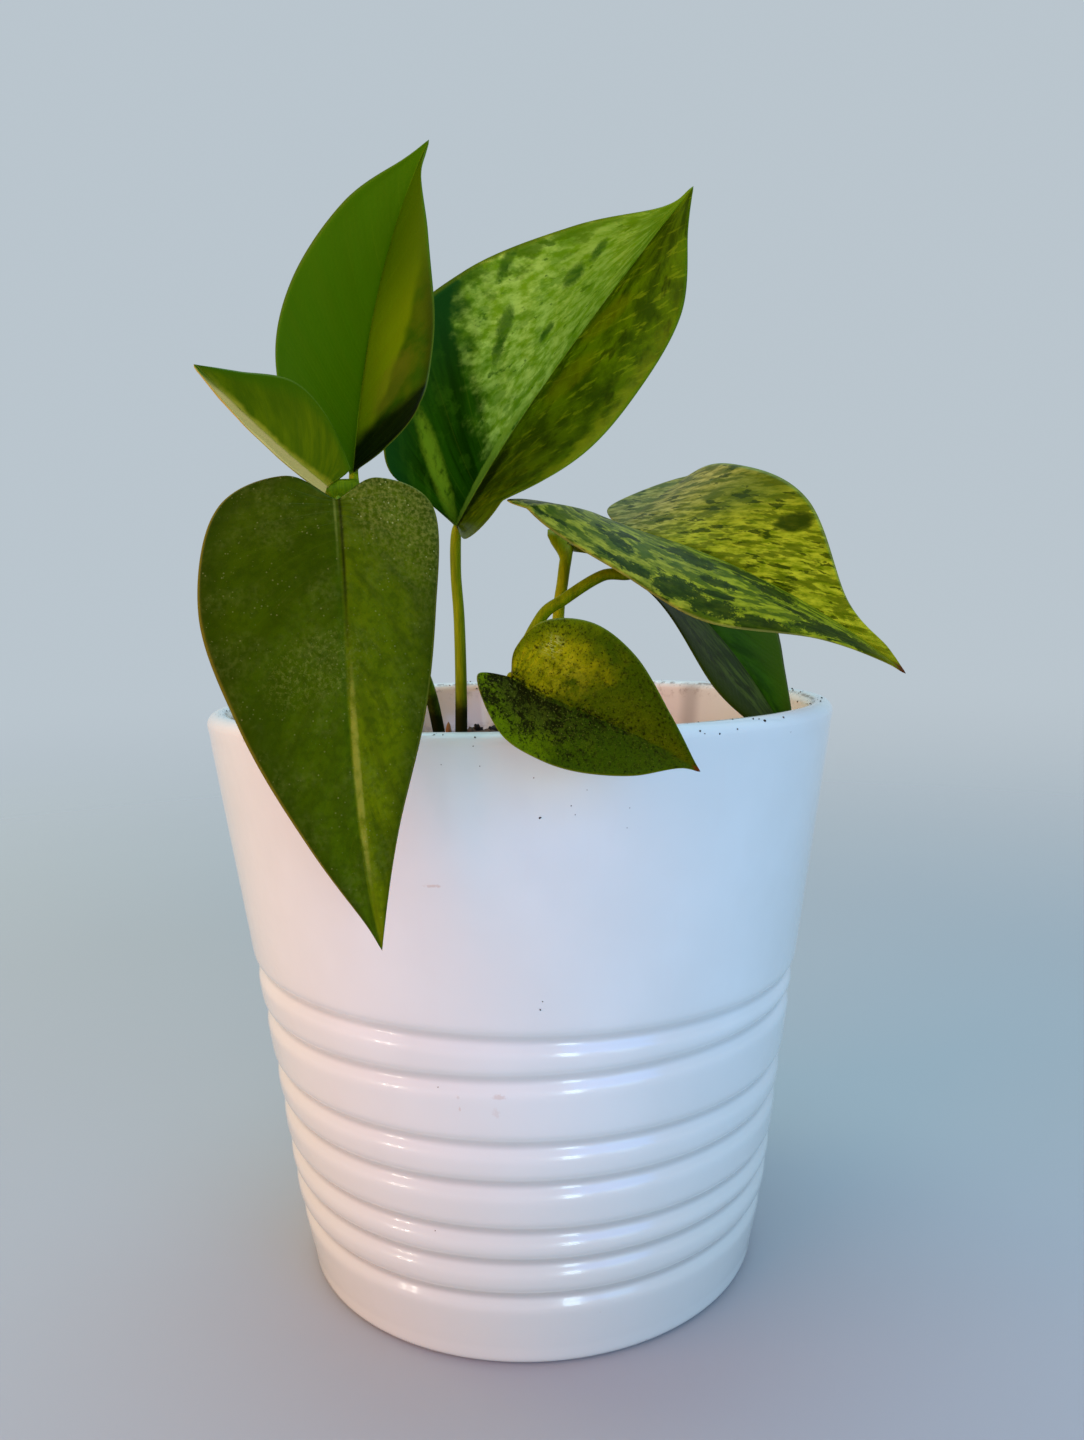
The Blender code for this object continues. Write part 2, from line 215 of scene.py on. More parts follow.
def tint(red, green, blue):
    """A colour as a screen shows it, 0 to 255, made linear for a shader."""
    shares = (channel / 255 for channel in (red, green, blue))
    linear = [s / 12.92 if s <= 0.04045 else ((s + 0.055) / 1.055) ** 2.4 for s in shares]
    return (*linear, 1.0)


print("mid grey is", round(tint(128, 128, 128)[0], 3), "in a shader")

# %% [markdown]
# A finish is a material with one Principled shader. What is even all over the surface, such as
# the index of refraction, is set on the shader's own sockets. What changes over the surface is
# linked to the colour, the roughness and the bump.

# %% Make a finish
def new_finish(name, **even):
    """A material with an empty Shade to start sums from, and its even values set."""
    material = bpy.data.materials.new(name)
    material.use_nodes = True
    shader = material.node_tree.nodes["Principled BSDF"]
    for socket, value in even.items():
        shader.inputs[socket.replace("_", " ")].default_value = value
    return material, Shade(material.node_tree)


def stored(start, name, output="Fac"):
    """What the mesh stores at each point under a name."""
    return start.node("ShaderNodeAttribute", {"attribute_name": name}, output=output)


def place_in_mm(start):
    """Where on the object the shader stands, in millimetres."""
    return start.node("ShaderNodeNewGeometry", output="Position").stretched(1000, 1000, 1000)


def coat(material, colour, roughness, height=None, bump_distance=MM, bump_strength=1.0):
    """Links the sums for colour, roughness and height to the material's shader."""
    tree = material.node_tree
    shader = tree.nodes["Principled BSDF"]
    tree.links.new(colour.socket, shader.inputs["Base Color"])
    tree.links.new(roughness.socket, shader.inputs["Roughness"])
    if height is not None:
        sockets = {"Height": height, "Distance": bump_distance, "Strength": bump_strength}
        bump = height.node("ShaderNodeBump", sockets=sockets)
        tree.links.new(bump.socket, shader.inputs["Normal"])
    return material


# %% [markdown]
# ## Pieces from grids
#
# Most of the plant is made of surfaces that can be laid out as a grid: the pot is one turned
# round, a stalk is one rolled into a tube, and a leaf is one bent in space. NumPy works out all
# of a grid's points at once, which is quicker and smoother than moving vertices one by one.
# What a finish needs to know about a place, such as how far along the leaf it is, is stored on
# the mesh as a named attribute.

# %% Build a mesh piece
def add_piece(name, points, faces, material, slot, replaces=(), **attributes):
    """One mesh object from points in millimetres, which rides with the pot."""
    mesh = bpy.data.meshes.new(name)
    mesh.from_pydata((np.asarray(points, float) * MM).tolist(), [], faces)
    for attribute, values in attributes.items():
        kind, field = ("FLOAT_VECTOR", "vector") if np.ndim(values) == 2 else ("FLOAT", "value")
        made = mesh.attributes.new(attribute, kind, "POINT")
        made.data.foreach_set(field, np.ravel(values).astype(np.float32))
    mesh.materials.append(material)
    mesh.shade_smooth()
    piece = bpy.data.objects.new(name, mesh)
    bpy.context.scene.collection.objects.link(piece)
    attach(piece, "root")
    if replaces:
        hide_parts(*replaces)
    print(name, "has", len(mesh.vertices), "points and", len(mesh.polygons), "faces")
    return piece


def ring_faces(rows, around):
    """Quads of a grid whose rows close on themselves."""
    number = np.arange(rows * around).reshape(rows, around)
    turned = np.roll(number, -1, axis=1)
    corners = np.stack([number[:-1], turned[:-1], turned[1:], number[1:]], axis=-1)
    return corners.reshape(-1, 4).tolist()


def tube_faces(rows, around, way=1):
    """The faces of a grid rolled round and closed at both ends, turned over where way is -1."""
    last = (rows - 1) * around
    ends = [list(range(around))[::-1], list(range(last, last + around))]
    return [face[::way] for face in ring_faces(rows, around) + ends]


def unit(vectors):
    """Vectors of length one, along the last axis."""
    return vectors / np.maximum(np.linalg.norm(vectors, axis=-1, keepdims=True), 1e-9)


def smooth_line(points, steps=24):
    """A Catmull-Rom curve through the points, with its ends kept."""
    points = np.array(points, float)
    padded = np.vstack([2 * points[0] - points[1], points, 2 * points[-1] - points[-2]])
    t = np.linspace(0, 1, steps, endpoint=False)[:, None]
    pieces = []
    for a, b, c, d in zip(padded, padded[1:], padded[2:], padded[3:]):
        cubic = -a + 3 * b - 3 * c + d
        square = 2 * a - 5 * b + 4 * c - d
        pieces.append(0.5 * (2 * b + (c - a) * t + square * t**2 + cubic * t**3))
    return np.vstack([*pieces, points[-1:]])


def along(line, fractions):
    """Points at fractions of a line's length."""
    steps = np.linalg.norm(np.diff(line, axis=0), axis=1)
    place = np.concatenate([[0], np.cumsum(steps)]) / steps.sum()
    return np.stack([np.interp(fractions, place, line[:, k]) for k in range(line.shape[1])], axis=-1)


LATTICE = 64


def value_noise(x, y, size, seed):
    """Smooth random heights from -1 to 1 over a plane, with hills about size across."""
    lattice = np.random.RandomState(seed).uniform(-1, 1, (LATTICE, LATTICE))
    x, y = x / size + LATTICE / 2, y / size + LATTICE / 2
    column, row = (np.floor(side).astype(int) % (LATTICE - 1) for side in (x, y))
    across, up = x - np.floor(x), y - np.floor(y)
    across, up = across**2 * (3 - 2 * across), up**2 * (3 - 2 * up)
    low = lattice[row, column] * (1 - across) + lattice[row, column + 1] * across
    high = lattice[row + 1, column] * (1 - across) + lattice[row + 1, column + 1] * across
    return low * (1 - up) + high * up


# %% [markdown]
# ## The pot
#
# The pot is glazed earthenware, turned on a wheel. Its upper wall is plain and flares a little,
# and seven grooves run round the lower half, cut by hand: none is quite level. A Screw modifier
# would turn one profile, but then every groove would be level, so the wall's radius is worked
# out for each direction and height, and the grid is rolled round.

# %% The pot's sizes
POT_HEIGHT = 127.5
POT_RADIUS = 70.0
FOOT_RADIUS = 51.5
WALL = 5.0
FLOOR = 6.0
LIP_RADIUS = WALL / 2
FOOT_ROUNDING = 2.0
INNER_CORNER = 3.0
INNER_RADIUS = POT_RADIUS - WALL
LIP_HEIGHT = POT_HEIGHT - LIP_RADIUS
TAPER = ((0.0, FOOT_RADIUS), (19.0, 55.5), (44.5, 58.5), (76.5, 63.0), (LIP_HEIGHT, POT_RADIUS))
TAPER_EASE = 4.0
PLAIN_FROM = 82.0
BANDS_FROM = 80.0
BAND_STEP = 0.5
AXIS_GAP = 0.02
GROOVES = (69.7, 61.8, 48.2, 39.9, 29.7, 23.1, 15.5)
GROOVE_TILTS = (-1.75, 0.66, -0.54, -0.26, -0.82, -0.3, -0.21)
GROOVE_DEPTH = 1.45
GROOVE_BREADTH = 1.65
GROOVE_SHADE_LIFT = 0.5
POT_STEPS = 208


def taper_radius(height):
    """The pot's outer radius at a height, without its grooves, its corners eased."""
    heights, radii = zip(*TAPER)
    near = (np.clip(height + step, 0, heights[-1]) for step in (-TAPER_EASE, 0, TAPER_EASE))
    return np.mean([np.interp(place, heights, radii) for place in near], axis=0)


def band_dip(heights, angle):
    """How deep the wall lies under its bands at each height, in one direction round the pot."""
    grooves = np.array(GROOVES) + np.array(GROOVE_TILTS) * math.cos(angle)
    away = (heights[:, None] - grooves) / GROOVE_BREADTH
    return GROOVE_DEPTH * np.exp(-(away**2)).sum(axis=1)


# %% Turn the pot
def arc(centre_radius, centre_height, radius, start, end, steps):
    """Points of a round corner in the turned profile."""
    angles = np.radians(np.linspace(start, end, steps + 1))
    radii = centre_radius + radius * np.cos(angles)
    return np.stack([radii, centre_height + radius * np.sin(angles)], axis=-1)


def pot_profile(angle):
    """The pot's half section in one direction: floor, inner wall, lip, banded wall and foot."""
    wall_start = FLOOR + INNER_CORNER
    floor_radius = taper_radius(wall_start) - WALL
    inner = arc(floor_radius - INNER_CORNER, wall_start, INNER_CORNER, -90, 0, 5)
    inner_heights = np.linspace(wall_start + 4, LIP_HEIGHT - 4, 24)
    inner_wall = np.stack([taper_radius(inner_heights) - WALL, inner_heights], axis=-1)
    lip = arc(POT_RADIUS - LIP_RADIUS, LIP_HEIGHT, LIP_RADIUS, 180, 0, 14)
    plain_heights = np.linspace(LIP_HEIGHT - 2.0, PLAIN_FROM, 14)
    band_heights = np.arange(BANDS_FROM, FOOT_ROUNDING + BAND_STEP, -BAND_STEP)
    banded = taper_radius(band_heights) - band_dip(band_heights, angle)
    plain_wall = np.stack([taper_radius(plain_heights), plain_heights], axis=-1)
    banded_wall = np.stack([banded, band_heights], axis=-1)
    foot = arc(taper_radius(FOOT_ROUNDING) - FOOT_ROUNDING, FOOT_ROUNDING, FOOT_ROUNDING, 0, -90, 5)
    rows = [(AXIS_GAP, FLOOR)], inner, inner_wall, lip, plain_wall, banded_wall, foot, [(AXIS_GAP, 0.0)]
    return np.vstack(rows)


def turn_pot(material):
    """The whole pot as one closed grid."""
    angles = np.arange(POT_STEPS) * 2 * math.pi / POT_STEPS
    profiles = np.stack([pot_profile(angle) for angle in angles], axis=1)
    radius, height = profiles[..., 0], profiles[..., 1]
    points = np.stack([radius * np.cos(angles), radius * np.sin(angles), height], axis=-1)
    faces = tube_faces(len(points), POT_STEPS, -1)
    # Painted shade: how strongly the glaze is darkened in each groove, centred a little above its deepest
    # line.
    shaded = height - GROOVE_SHADE_LIFT
    dips = [band_dip(shaded[:, k], angle) for k, angle in enumerate(angles)]
    groove = np.stack(dips, axis=1) / GROOVE_DEPTH
    groove = np.where(radius > taper_radius(height) - 0.6 * WALL, groove, 0).ravel()
    points = points.reshape(-1, 3)
    return add_piece("white_pot", points, faces, material, "glaze_white", ["pot"], groove=groove)


# %% [markdown]
# The glaze is a milky white. Painted shade darkens and warms it in the grooves and darkens it towards the
# foot. Inside, the wall is painted a warm peach that stands for the warm light, with painted shade at its
# left and a soft stripe of painted shadow. It is glossy but never perfectly flat: it ripples slightly, and
# small brown flecks and a few faint smears show in it.
# Soil has dried in a thin line inside the rim and along the soil's edge. Bump nodes give the
# ripples, because they are far too shallow to be worth any faces.

# %% Glaze
SOIL_TOP = 112.0
MARKS = (
    (-5.5, 59.2, 2.0, 0.9, 0.32), (-6.2, 56.0, 1.2, 1.8, 0.16), (-11.0, 47.1, 0.4, 2.0, 0.3),
    (-12.6, 56.4, 0.3, 1.4, 0.3), (-14.2, 100.2, 2.6, 0.5, 0.4), (-9.0, 30.0, 1.6, 1.0, 0.16),
)
SHADE_TURN = 46.0
INNER_SLOPE = 0.135


def smear(millimetres, angle, height, width, tall):
    """A ragged mark on the outer wall, from its angle and height and its two sizes."""
    radius, turn = float(taper_radius(height)), math.radians(angle)
    away = millimetres.shifted(-radius * math.sin(turn), radius * math.cos(turn), -height)
    size = away.stretched(2 / width, 2 / width, 2 / tall).length()
    return (size + (millimetres.noise(1.6, 4, 0.8) - 0.5) * 4.0).rise(1.4, 0.5)


def glaze():
    material, start = new_finish("milky_glaze", IOR=1.5, Coat_Weight=0.35, Coat_Roughness=0.06)
    millimetres = place_in_mm(start)
    height = millimetres.part(2)
    cloud = millimetres.noise(0.03, 3)
    colour = cloud.rise(0.3, 0.7).pick(tint(220, 227, 225), tint(226, 234, 233))
    # Painted shade: the glaze is darker towards the foot.
    colour = (height.rise(76, 6) * 0.9).pick(colour, tint(211, 216, 209))
    streak = millimetres.stretched(1, 1, 0.12).noise(0.35, 3).rise(0.58, 0.8) * 0.12
    colour = streak.pick(colour, tint(222, 220, 218))
    # Painted shade in the grooves, a little stronger low down.
    groove = stored(start, "groove")
    low = height.rise(70, 15) * 0.1 + 0.2
    colour = (groove.rise(0.45, 1.0) * low).pick(colour, tint(120, 112, 108))
    radius = millimetres.stretched(1, 1, 0).length()
    inside = (radius - INNER_RADIUS - (height - POT_HEIGHT) * INNER_SLOPE).rise(1.6, 0.2)
    # Painted light and shade: the inner wall is painted a warm peach for the warm light, and darker and more
    # beige at its left as painted shade from the leaves.
    lit_side = millimetres.part(0).rise(5, 35)
    colour = inside.pick(colour, lit_side.pick(tint(238, 220, 194), tint(250, 246, 236)))
    turn = math.radians(SHADE_TURN)
    aside = abs(millimetres.part(0) * math.cos(turn) - millimetres.part(1) * math.sin(turn))
    shade = aside.rise(4.5, 0.5) * millimetres.part(1).rise(0.0, 5.0) * inside
    colour = (shade * 0.5).pick(colour, tint(150, 140, 130))
    grime = millimetres.noise(0.5, 5, 0.7)
    soil_line = (height - SOIL_TOP).rise(5.0, 0.0) * inside
    film = grime.rise(0.42, 0.62) * soil_line * 0.75
    colour = film.pick(colour, tint(96, 74, 55))
    lip_dirt = inside * (height - POT_HEIGHT).rise(-5.5, -1.5) * grime.rise(0.5, 0.66) * 0.55
    inner_edge = (radius - INNER_RADIUS).bell(1.0, 0.7) * (height - POT_HEIGHT).rise(-1.8, -0.6)
    lip_dirt = lip_dirt.most(inner_edge * millimetres.noise(0.35, 4, 0.7).rise(0.4, 0.55) * 0.8)
    colour = lip_dirt.pick(colour, tint(118, 92, 70))
    for angle, mark_height, width, tall, strength in MARKS:
        mark = smear(millimetres, angle, mark_height, width, tall) * strength
        colour = mark.pick(colour, tint(188, 152, 128))
    fleck = millimetres.cells(0.11).rise(0.045, 0.02) * millimetres.noise(0.06).rise(0.52, 0.6) * 0.35
    colour = fleck.pick(colour, tint(170, 152, 132))
    roughness = 0.15 + cloud * 0.08 + (film + lip_dirt) * 0.5
    ripple = millimetres.noise(0.16, 2) * 0.9 + millimetres.noise(1.1, 2) * 0.05 + grime * film * 0.3
    return coat(material, colour, roughness, ripple, bump_distance=0.3 * MM, bump_strength=0.3)


turn_pot(glaze())

# %% [markdown]
# ## The soil
#
# Potting soil is a mix of crumbs of every size, so it never reads as one smooth lump. Its
# surface here is a round grid raised by noise of four sizes. Loose crumbs and slivers of bark
# then lie on it as small closed lumps, because only real edges cast the small shadows that make
# soil look dry and open.

# %% Soil surface
SOIL_GAP = 0.3
CLUMP_CENTRE = (-9.0, 36.0)
CLUMP_RADIUS = 10.0
CLUMP_HEIGHT = 5.0
CLODS = ((9.0, 0.9), (4.0, 0.7), (1.9, 0.45), (1.0, 0.25))
SOIL_STEPS = 216
SOIL_ROWS = 90


def soil_rise(x, y):
    """How far the soil stands above its mean level, clods and crumbs included."""
    ripple = np.sin(0.21 * x + 0.4) * np.cos(0.17 * y - 0.3) + 0.5 * np.sin(0.33 * y + 0.23 * x)
    away = np.hypot(x - CLUMP_CENTRE[0], y - CLUMP_CENTRE[1]) / CLUMP_RADIUS
    rough = 0
    for seed, (size, height) in enumerate(CLODS, start=7):
        rough = rough + height * (0.4 - abs(value_noise(x, y, size, seed)))
    return 0.8 * ripple + CLUMP_HEIGHT * np.exp(-away * away) + rough


def pile_soil(material):
    """The soil from its bumpy top down its side to its flat underside."""
    angles = np.arange(SOIL_STEPS) * 2 * math.pi / SOIL_STEPS
    rim = float(taper_radius(SOIL_TOP)) - WALL - SOIL_GAP
    radii = np.linspace(0.05, rim, SOIL_ROWS)[:, None]
    x, y = radii * np.cos(angles), radii * np.sin(angles)
    edge = np.clip((rim - radii) / 4, 0, 1) ** 0.5
    top = np.stack([x, y, SOIL_TOP + soil_rise(x, y) * edge], axis=-1)
    side_heights = np.array([90.0, 60.0, 30.0, FLOOR + 4, FLOOR + SOIL_GAP])
    side_radii = taper_radius(side_heights) - WALL - SOIL_GAP - np.array([0, 0, 0, 0, 5])
    rows = [np.stack([r * np.cos(angles), r * np.sin(angles), np.full_like(angles, h)], -1)
            for r, h in zip(side_radii, side_heights)]
    points = np.concatenate([top, rows])
    faces = tube_faces(len(points), SOIL_STEPS, -1)
    return add_piece("loose_soil", points.reshape(-1, 3), faces, material, "potting_soil", ["soil"])


# %% Crumbs of soil and bark
def lump_shape():
    """The points and triangles of the small ball that every crumb is squeezed and knobbled from."""
    shape = bmesh.new()
    bmesh.ops.create_icosphere(shape, subdivisions=2, radius=1.0)
    points = np.array([vertex.co[:] for vertex in shape.verts])
    faces = np.array([[corner.index for corner in face.verts] for face in shape.faces])
    shape.free()
    return points, faces


LUMP_POINTS, LUMP_FACES = lump_shape()


def turns(count, random):
    """Random rotation matrices."""
    first, second = unit(random.normal(size=(count, 3))), random.normal(size=(count, 3))
    second = unit(second - (first * second).sum(1, keepdims=True) * first)
    return np.stack([first, second, np.cross(first, second)], axis=1)


def scatter(name, places, sizes, shares, material, seed):
    """Many small irregular lumps in one piece: shares are a lump's three sides beside its size."""
    random = np.random.RandomState(seed)
    count = len(places)
    knobs = 1 + 0.28 * random.uniform(-1, 1, (count, len(LUMP_POINTS), 1))
    sides = sizes[:, None, None] * np.asarray(shares) * random.uniform(0.75, 1.25, (count, 1, 3))
    lumps = LUMP_POINTS * knobs * sides
    lumps = np.einsum("nki,nij->nkj", lumps, turns(count, random)) + places[:, None]
    offsets = np.arange(count)[:, None, None] * len(LUMP_POINTS)
    faces = (LUMP_FACES + offsets).reshape(-1, 3).tolist()
    shade = np.repeat(random.uniform(0, 1, count), len(LUMP_POINTS))
    return add_piece(name, lumps.reshape(-1, 3), faces, material, "potting_soil", lump_shade=shade)


def on_soil(count, greatest, seed, sink):
    """Places on the soil's surface, clear of the pot's wall."""
    random = np.random.RandomState(seed)
    radius = greatest * np.sqrt(random.uniform(0, 1, count))
    angle = random.uniform(0, 2 * math.pi, count)
    x, y = radius * np.cos(angle), radius * np.sin(angle)
    return np.stack([x, y, SOIL_TOP + soil_rise(x, y) - sink], axis=-1)


# %% [markdown]
# Damp soil is nearly black, and dries to a dull brown on its highest crumbs. The soil's colour
# therefore follows its height and a noise, and each loose crumb has a shade of its own that is
# stored on its points.

# %% Soil finishes
def damp_soil():
    material, start = new_finish("damp_soil", IOR=1.4)
    millimetres = place_in_mm(start)
    dry = (millimetres.part(2) - SOIL_TOP) * 0.12 + millimetres.noise(0.3, 4, 0.6)
    colour = dry.rise(0.3, 0.85).pick(tint(27, 19, 14), tint(84, 62, 44))
    fibre = millimetres.stretched(0.4, 1.6, 1).noise(2.2, 3).rise(0.6, 0.7) * 0.5
    colour = fibre.pick(colour, tint(110, 82, 56))
    grain = millimetres.noise(2.6, 5, 0.7)
    return coat(material, colour, 0.78 + grain * 0.2, grain, bump_distance=0.8 * MM)


def crumb_finish(name, dark, pale):
    material, start = new_finish(name, IOR=1.4)
    shade = stored(start, "lump_shade")
    millimetres = place_in_mm(start)
    grain = millimetres.noise(3.5, 4, 0.7)
    colour = (shade * 0.7 + grain * 0.5).rise(0.15, 0.95).pick(dark, pale)
    return coat(material, colour, 0.75 + grain * 0.25, grain, bump_distance=0.4 * MM)


# %% Lay crumbs and bark on the soil
CRUMBS = 620
BARK_PIECES = 46

pile_soil(damp_soil())
crumb_random = np.random.RandomState(11)
crumb_sizes = 0.45 + 1.5 * crumb_random.uniform(0, 1, CRUMBS) ** 3
scatter("soil_crumbs", on_soil(CRUMBS, 58.0, 3, 0.1), crumb_sizes, (1, 0.85, 0.7),
        crumb_finish("soil_crumb", tint(24, 17, 12), tint(92, 68, 48)), 5)
bark_sizes = 1.2 + 1.3 * crumb_random.uniform(0, 1, BARK_PIECES)
scatter("bark_slivers", on_soil(BARK_PIECES, 56.0, 4, -0.2), bark_sizes, (1.6, 0.7, 0.28),
        crumb_finish("bark_sliver", tint(58, 36, 22), tint(140, 100, 64)), 6)

# %% The clump behind the stems
CLUMP_LUMPS = np.array([
    (-12.0, 36.0, 117.3, 1.1), (-11.2, 36.5, 116.6, 0.9), (-8.2, 36.0, 116.3, 1.1), (-6.8, 35.5, 116.3, 1.6),
    (-5.0, 35.0, 116.4, 1.4), (-3.2, 35.0, 115.6, 1.3), (-14.5, 35.0, 114.8, 1.0),
])
scatter("clump_lumps", CLUMP_LUMPS[:, :3], CLUMP_LUMPS[:, 3], (1, 0.9, 0.9),
        crumb_finish("wet_soil_lump", tint(9, 7, 5), tint(34, 26, 20)), 14)

CHIP_PLACE = (-18.6, 22.0, 115.4)
CHIP_SIZE = (0.9, 0.5, 5.0)
add_piece("standing_bark_chip", LUMP_POINTS * CHIP_SIZE + CHIP_PLACE, LUMP_FACES.tolist(),
          crumb_finish("dry_bark_chip", tint(104, 62, 26), tint(176, 124, 66)), "potting_soil",
          lump_shade=np.linspace(0, 1, len(LUMP_POINTS)))

# %% [markdown]
# Specks of soil also cling to the pot, where watering splashed them: a row along the rim and a
# few on the plain wall and the bands. The places of the larger ones are design values, as an
# angle from the front and a height, and a seeded rule adds the finest ones.

# %% Specks on the pot
SPECKS = (
    (-12.6, 127.2, 0.2), (-11.3, 127.2, 0.17), (-6.6, 126.8, 0.2), (-6.8, 125.4, 0.14), (-11.5, 122.2, 0.1),
    (-6.0, 121.9, 0.13), (1.5, 119.7, 0.14), (9.1, 117.2, 0.1), (6.8, 114.5, 0.14), (7.4, 112.9, 0.12),
    (2.3, 112.6, 0.22), (15.3, 109.9, 0.12), (15.6, 113.5, 0.12), (26.7, 126.2, 0.2), (27.4, 125.7, 0.17),
    (30.1, 125.4, 0.18), (33.7, 125.9, 0.2), (38.2, 127.2, 0.25), (39.4, 127.1, 0.22), (40.3, 126.7, 0.36),
    (45.5, 126.8, 0.24), (47.0, 123.9, 0.18), (1.9, 76.7, 0.2), (2.3, 78.3, 0.15), (-16.3, 60.7, 0.13),
    (-19.5, 29.8, 0.16),
)
RIM_SPECKS = 260


def outside_radius(height):
    """The pot's outer radius at a height, over the round of the lip too."""
    above = np.clip(height - LIP_HEIGHT, 0, LIP_RADIUS)
    lip = POT_RADIUS - LIP_RADIUS + np.sqrt(LIP_RADIUS**2 - above**2)
    return np.where(height > LIP_HEIGHT, lip, taper_radius(height))


def speck_places():
    """Points on the pot's outside and over its lip, and each speck's size."""
    random = np.random.RandomState(21)
    angle, height, size = np.array(SPECKS).T
    lip_angle = random.uniform(-180, 180, RIM_SPECKS)
    lip_turn = np.radians(random.uniform(70, 178, RIM_SPECKS))
    lip_radius = POT_RADIUS - LIP_RADIUS + LIP_RADIUS * np.cos(lip_turn)
    lip_height = LIP_HEIGHT + LIP_RADIUS * np.sin(lip_turn)
    radius = np.concatenate([outside_radius(height), lip_radius])
    turn = np.radians(np.concatenate([angle, lip_angle]))
    height = np.concatenate([height, lip_height])
    size = np.concatenate([size, 0.07 + 0.22 * random.uniform(0, 1, RIM_SPECKS) ** 3])
    return np.stack([radius * np.sin(turn), -radius * np.cos(turn), height], axis=-1), size


speck_points, speck_sizes = speck_places()
scatter("rim_specks", speck_points, speck_sizes, (1, 0.7, 0.6),
        crumb_finish("dried_splash", tint(30, 22, 16), tint(96, 74, 54)), 8)

# %% [markdown]
# ## The leaves' design
#
# A pothos leaf is a heart with a drawn-out tip. Each is described as a gardener might measure
# it: the curve of its midrib in space, the way its upper face looks, and for each half how wide
# it is when pressed flat, how steeply it folds up from the midrib and how much it curls on the
# way to its edge. The values are the solids' own, so each leaf stays where its solid is. Only
# one tip and a few breadths are moved by a millimetre or so, and the drooping leaf's right half
# by up to 3.5, narrower at its base and broader towards its tip.

# %% Blade design values
STATIONS = (0.0, 0.25, 0.5, 0.75, 0.92)
VEIN_LEAN = 2.8
VEIN_BEND = 1.4


@dataclass(frozen=True)
class Half:
    """One half of a blade: its lobe and breadths laid flat, its fold and its curl."""

    lobe: float
    lobe_breadth: float
    breadths: tuple
    fold: tuple
    curl: float


@dataclass(frozen=True)
class Blade:
    """A blade: its midrib's Bezier points, where its upper face looks, and its two halves."""

    name: str
    midrib: tuple
    face: tuple
    twist: float
    left: Half
    right: Half


BLADES = {
    "hanging": Blade(
        "leaf_hanging",
        midrib=((-28.5, -75.5, 166), (-26, -84.5, 144), (-28, -84.5, 120.5), (-22.7, -85, 95.4)),
        face=(14, 2),
        twist=-2,
        left=Half(4.5, 7, (16, 15, 12, 6, 2), fold=(-4, 0), curl=-13),
        right=Half(5, 8, (19, 22, 16.5, 8, 2), fold=(-6, 1), curl=-10),
    ),
    "upright": Blade(
        "leaf_upright",
        midrib=((-29, -53.5, 173), (-29.5, -37.5, 189.5), (-26.5, -38, 213.5), (-14.5, -41.5, 234.5)),
        face=(5, 14),
        twist=-2,
        left=Half(3, 6.5, (15, 19, 17.5, 11, 3), fold=(48, 36), curl=-3),
        right=Half(2, 10, (19.5, 20, 17.5, 10, 1.5), fold=(50, 37), curl=4),
    ),
    "young": Blade(
        "leaf_young",
        midrib=((-32, -63, 169.5), (-39, -64.5, 175.5), (-46, -68.5, 182.5), (-49.5, -77, 187)),
        face=(37, 34),
        twist=-6,
        left=Half(0, 4.5, (6.5, 10, 9.5, 5, 2), fold=(26, 23), curl=20),
        right=Half(1, 4.5, (6, 10, 10.5, 5, 1.5), fold=(25, 24), curl=-1),
    ),
    "tall": Blade(
        "leaf_tall",
        midrib=((-14, 3.5, 167.5), (-1, 14, 193), (20.5, 7.5, 217.5), (41, -0.5, 241)),
        face=(-26, -28),
        twist=-2,
        left=Half(0.5, 12.5, (25.5, 38.5, 32.5, 17, 2.8), fold=(58, 28), curl=-7),
        right=Half(6.5, 13.5, (26, 30, 27.5, 20.5, 6), fold=(57, 29), curl=2),
    ),
    "arching": Blade(
        "leaf_arching",
        midrib=((22, -12, 165.5), (37, -30, 160.5), (57.5, -36.5, 150), (75.5, -40.5, 134)),
        face=(38, 25),
        twist=8,
        left=Half(10, 8, (23.5, 24.5, 21, 5.5, 2), fold=(26, 20), curl=7),
        right=Half(12.5, 20.4, (27, 25, 23, 9.5, 2.5), fold=(27, 18), curl=-36),
    ),
    "small": Blade(
        "leaf_small",
        midrib=((-1.5, -81.5, 137.5), (7.5, -77.5, 132), (19, -80, 128.5), (27.5, -85, 122.5)),
        face=(0, 19),
        twist=-2,
        left=Half(2, 4.5, (10.5, 13.5, 11.5, 5.5, 1.5), fold=(23, 19), curl=-4),
        right=Half(5.8, 2.8, (10, 11.5, 10.5, 7, 1.5), fold=(23, 19), curl=-3),
    ),
    "drooping": Blade(
        "leaf_drooping",
        midrib=((13, 5, 163.5), (37.5, 7.5, 156.5), (49, -7, 139.5), (59.5, -18, 116)),
        face=(61, 28),
        twist=31,
        left=Half(6.5, 2, (4, 22.5, 21, 9.5, 3), fold=(16, 13), curl=-4),
        right=Half(1.5, 2.5, (3.5, 17, 19, 17, 7), fold=(21, 10), curl=-3),
    ),
}


# %% [markdown]
# ## From flat to bent
#
# A blade's grid follows its veins. Each row starts on the midrib and leans forward to the edge,
# as a real side vein does, so that relief and colour along a row look grown. The flat place of
# every point is kept beside its bent one, for the finish to use.

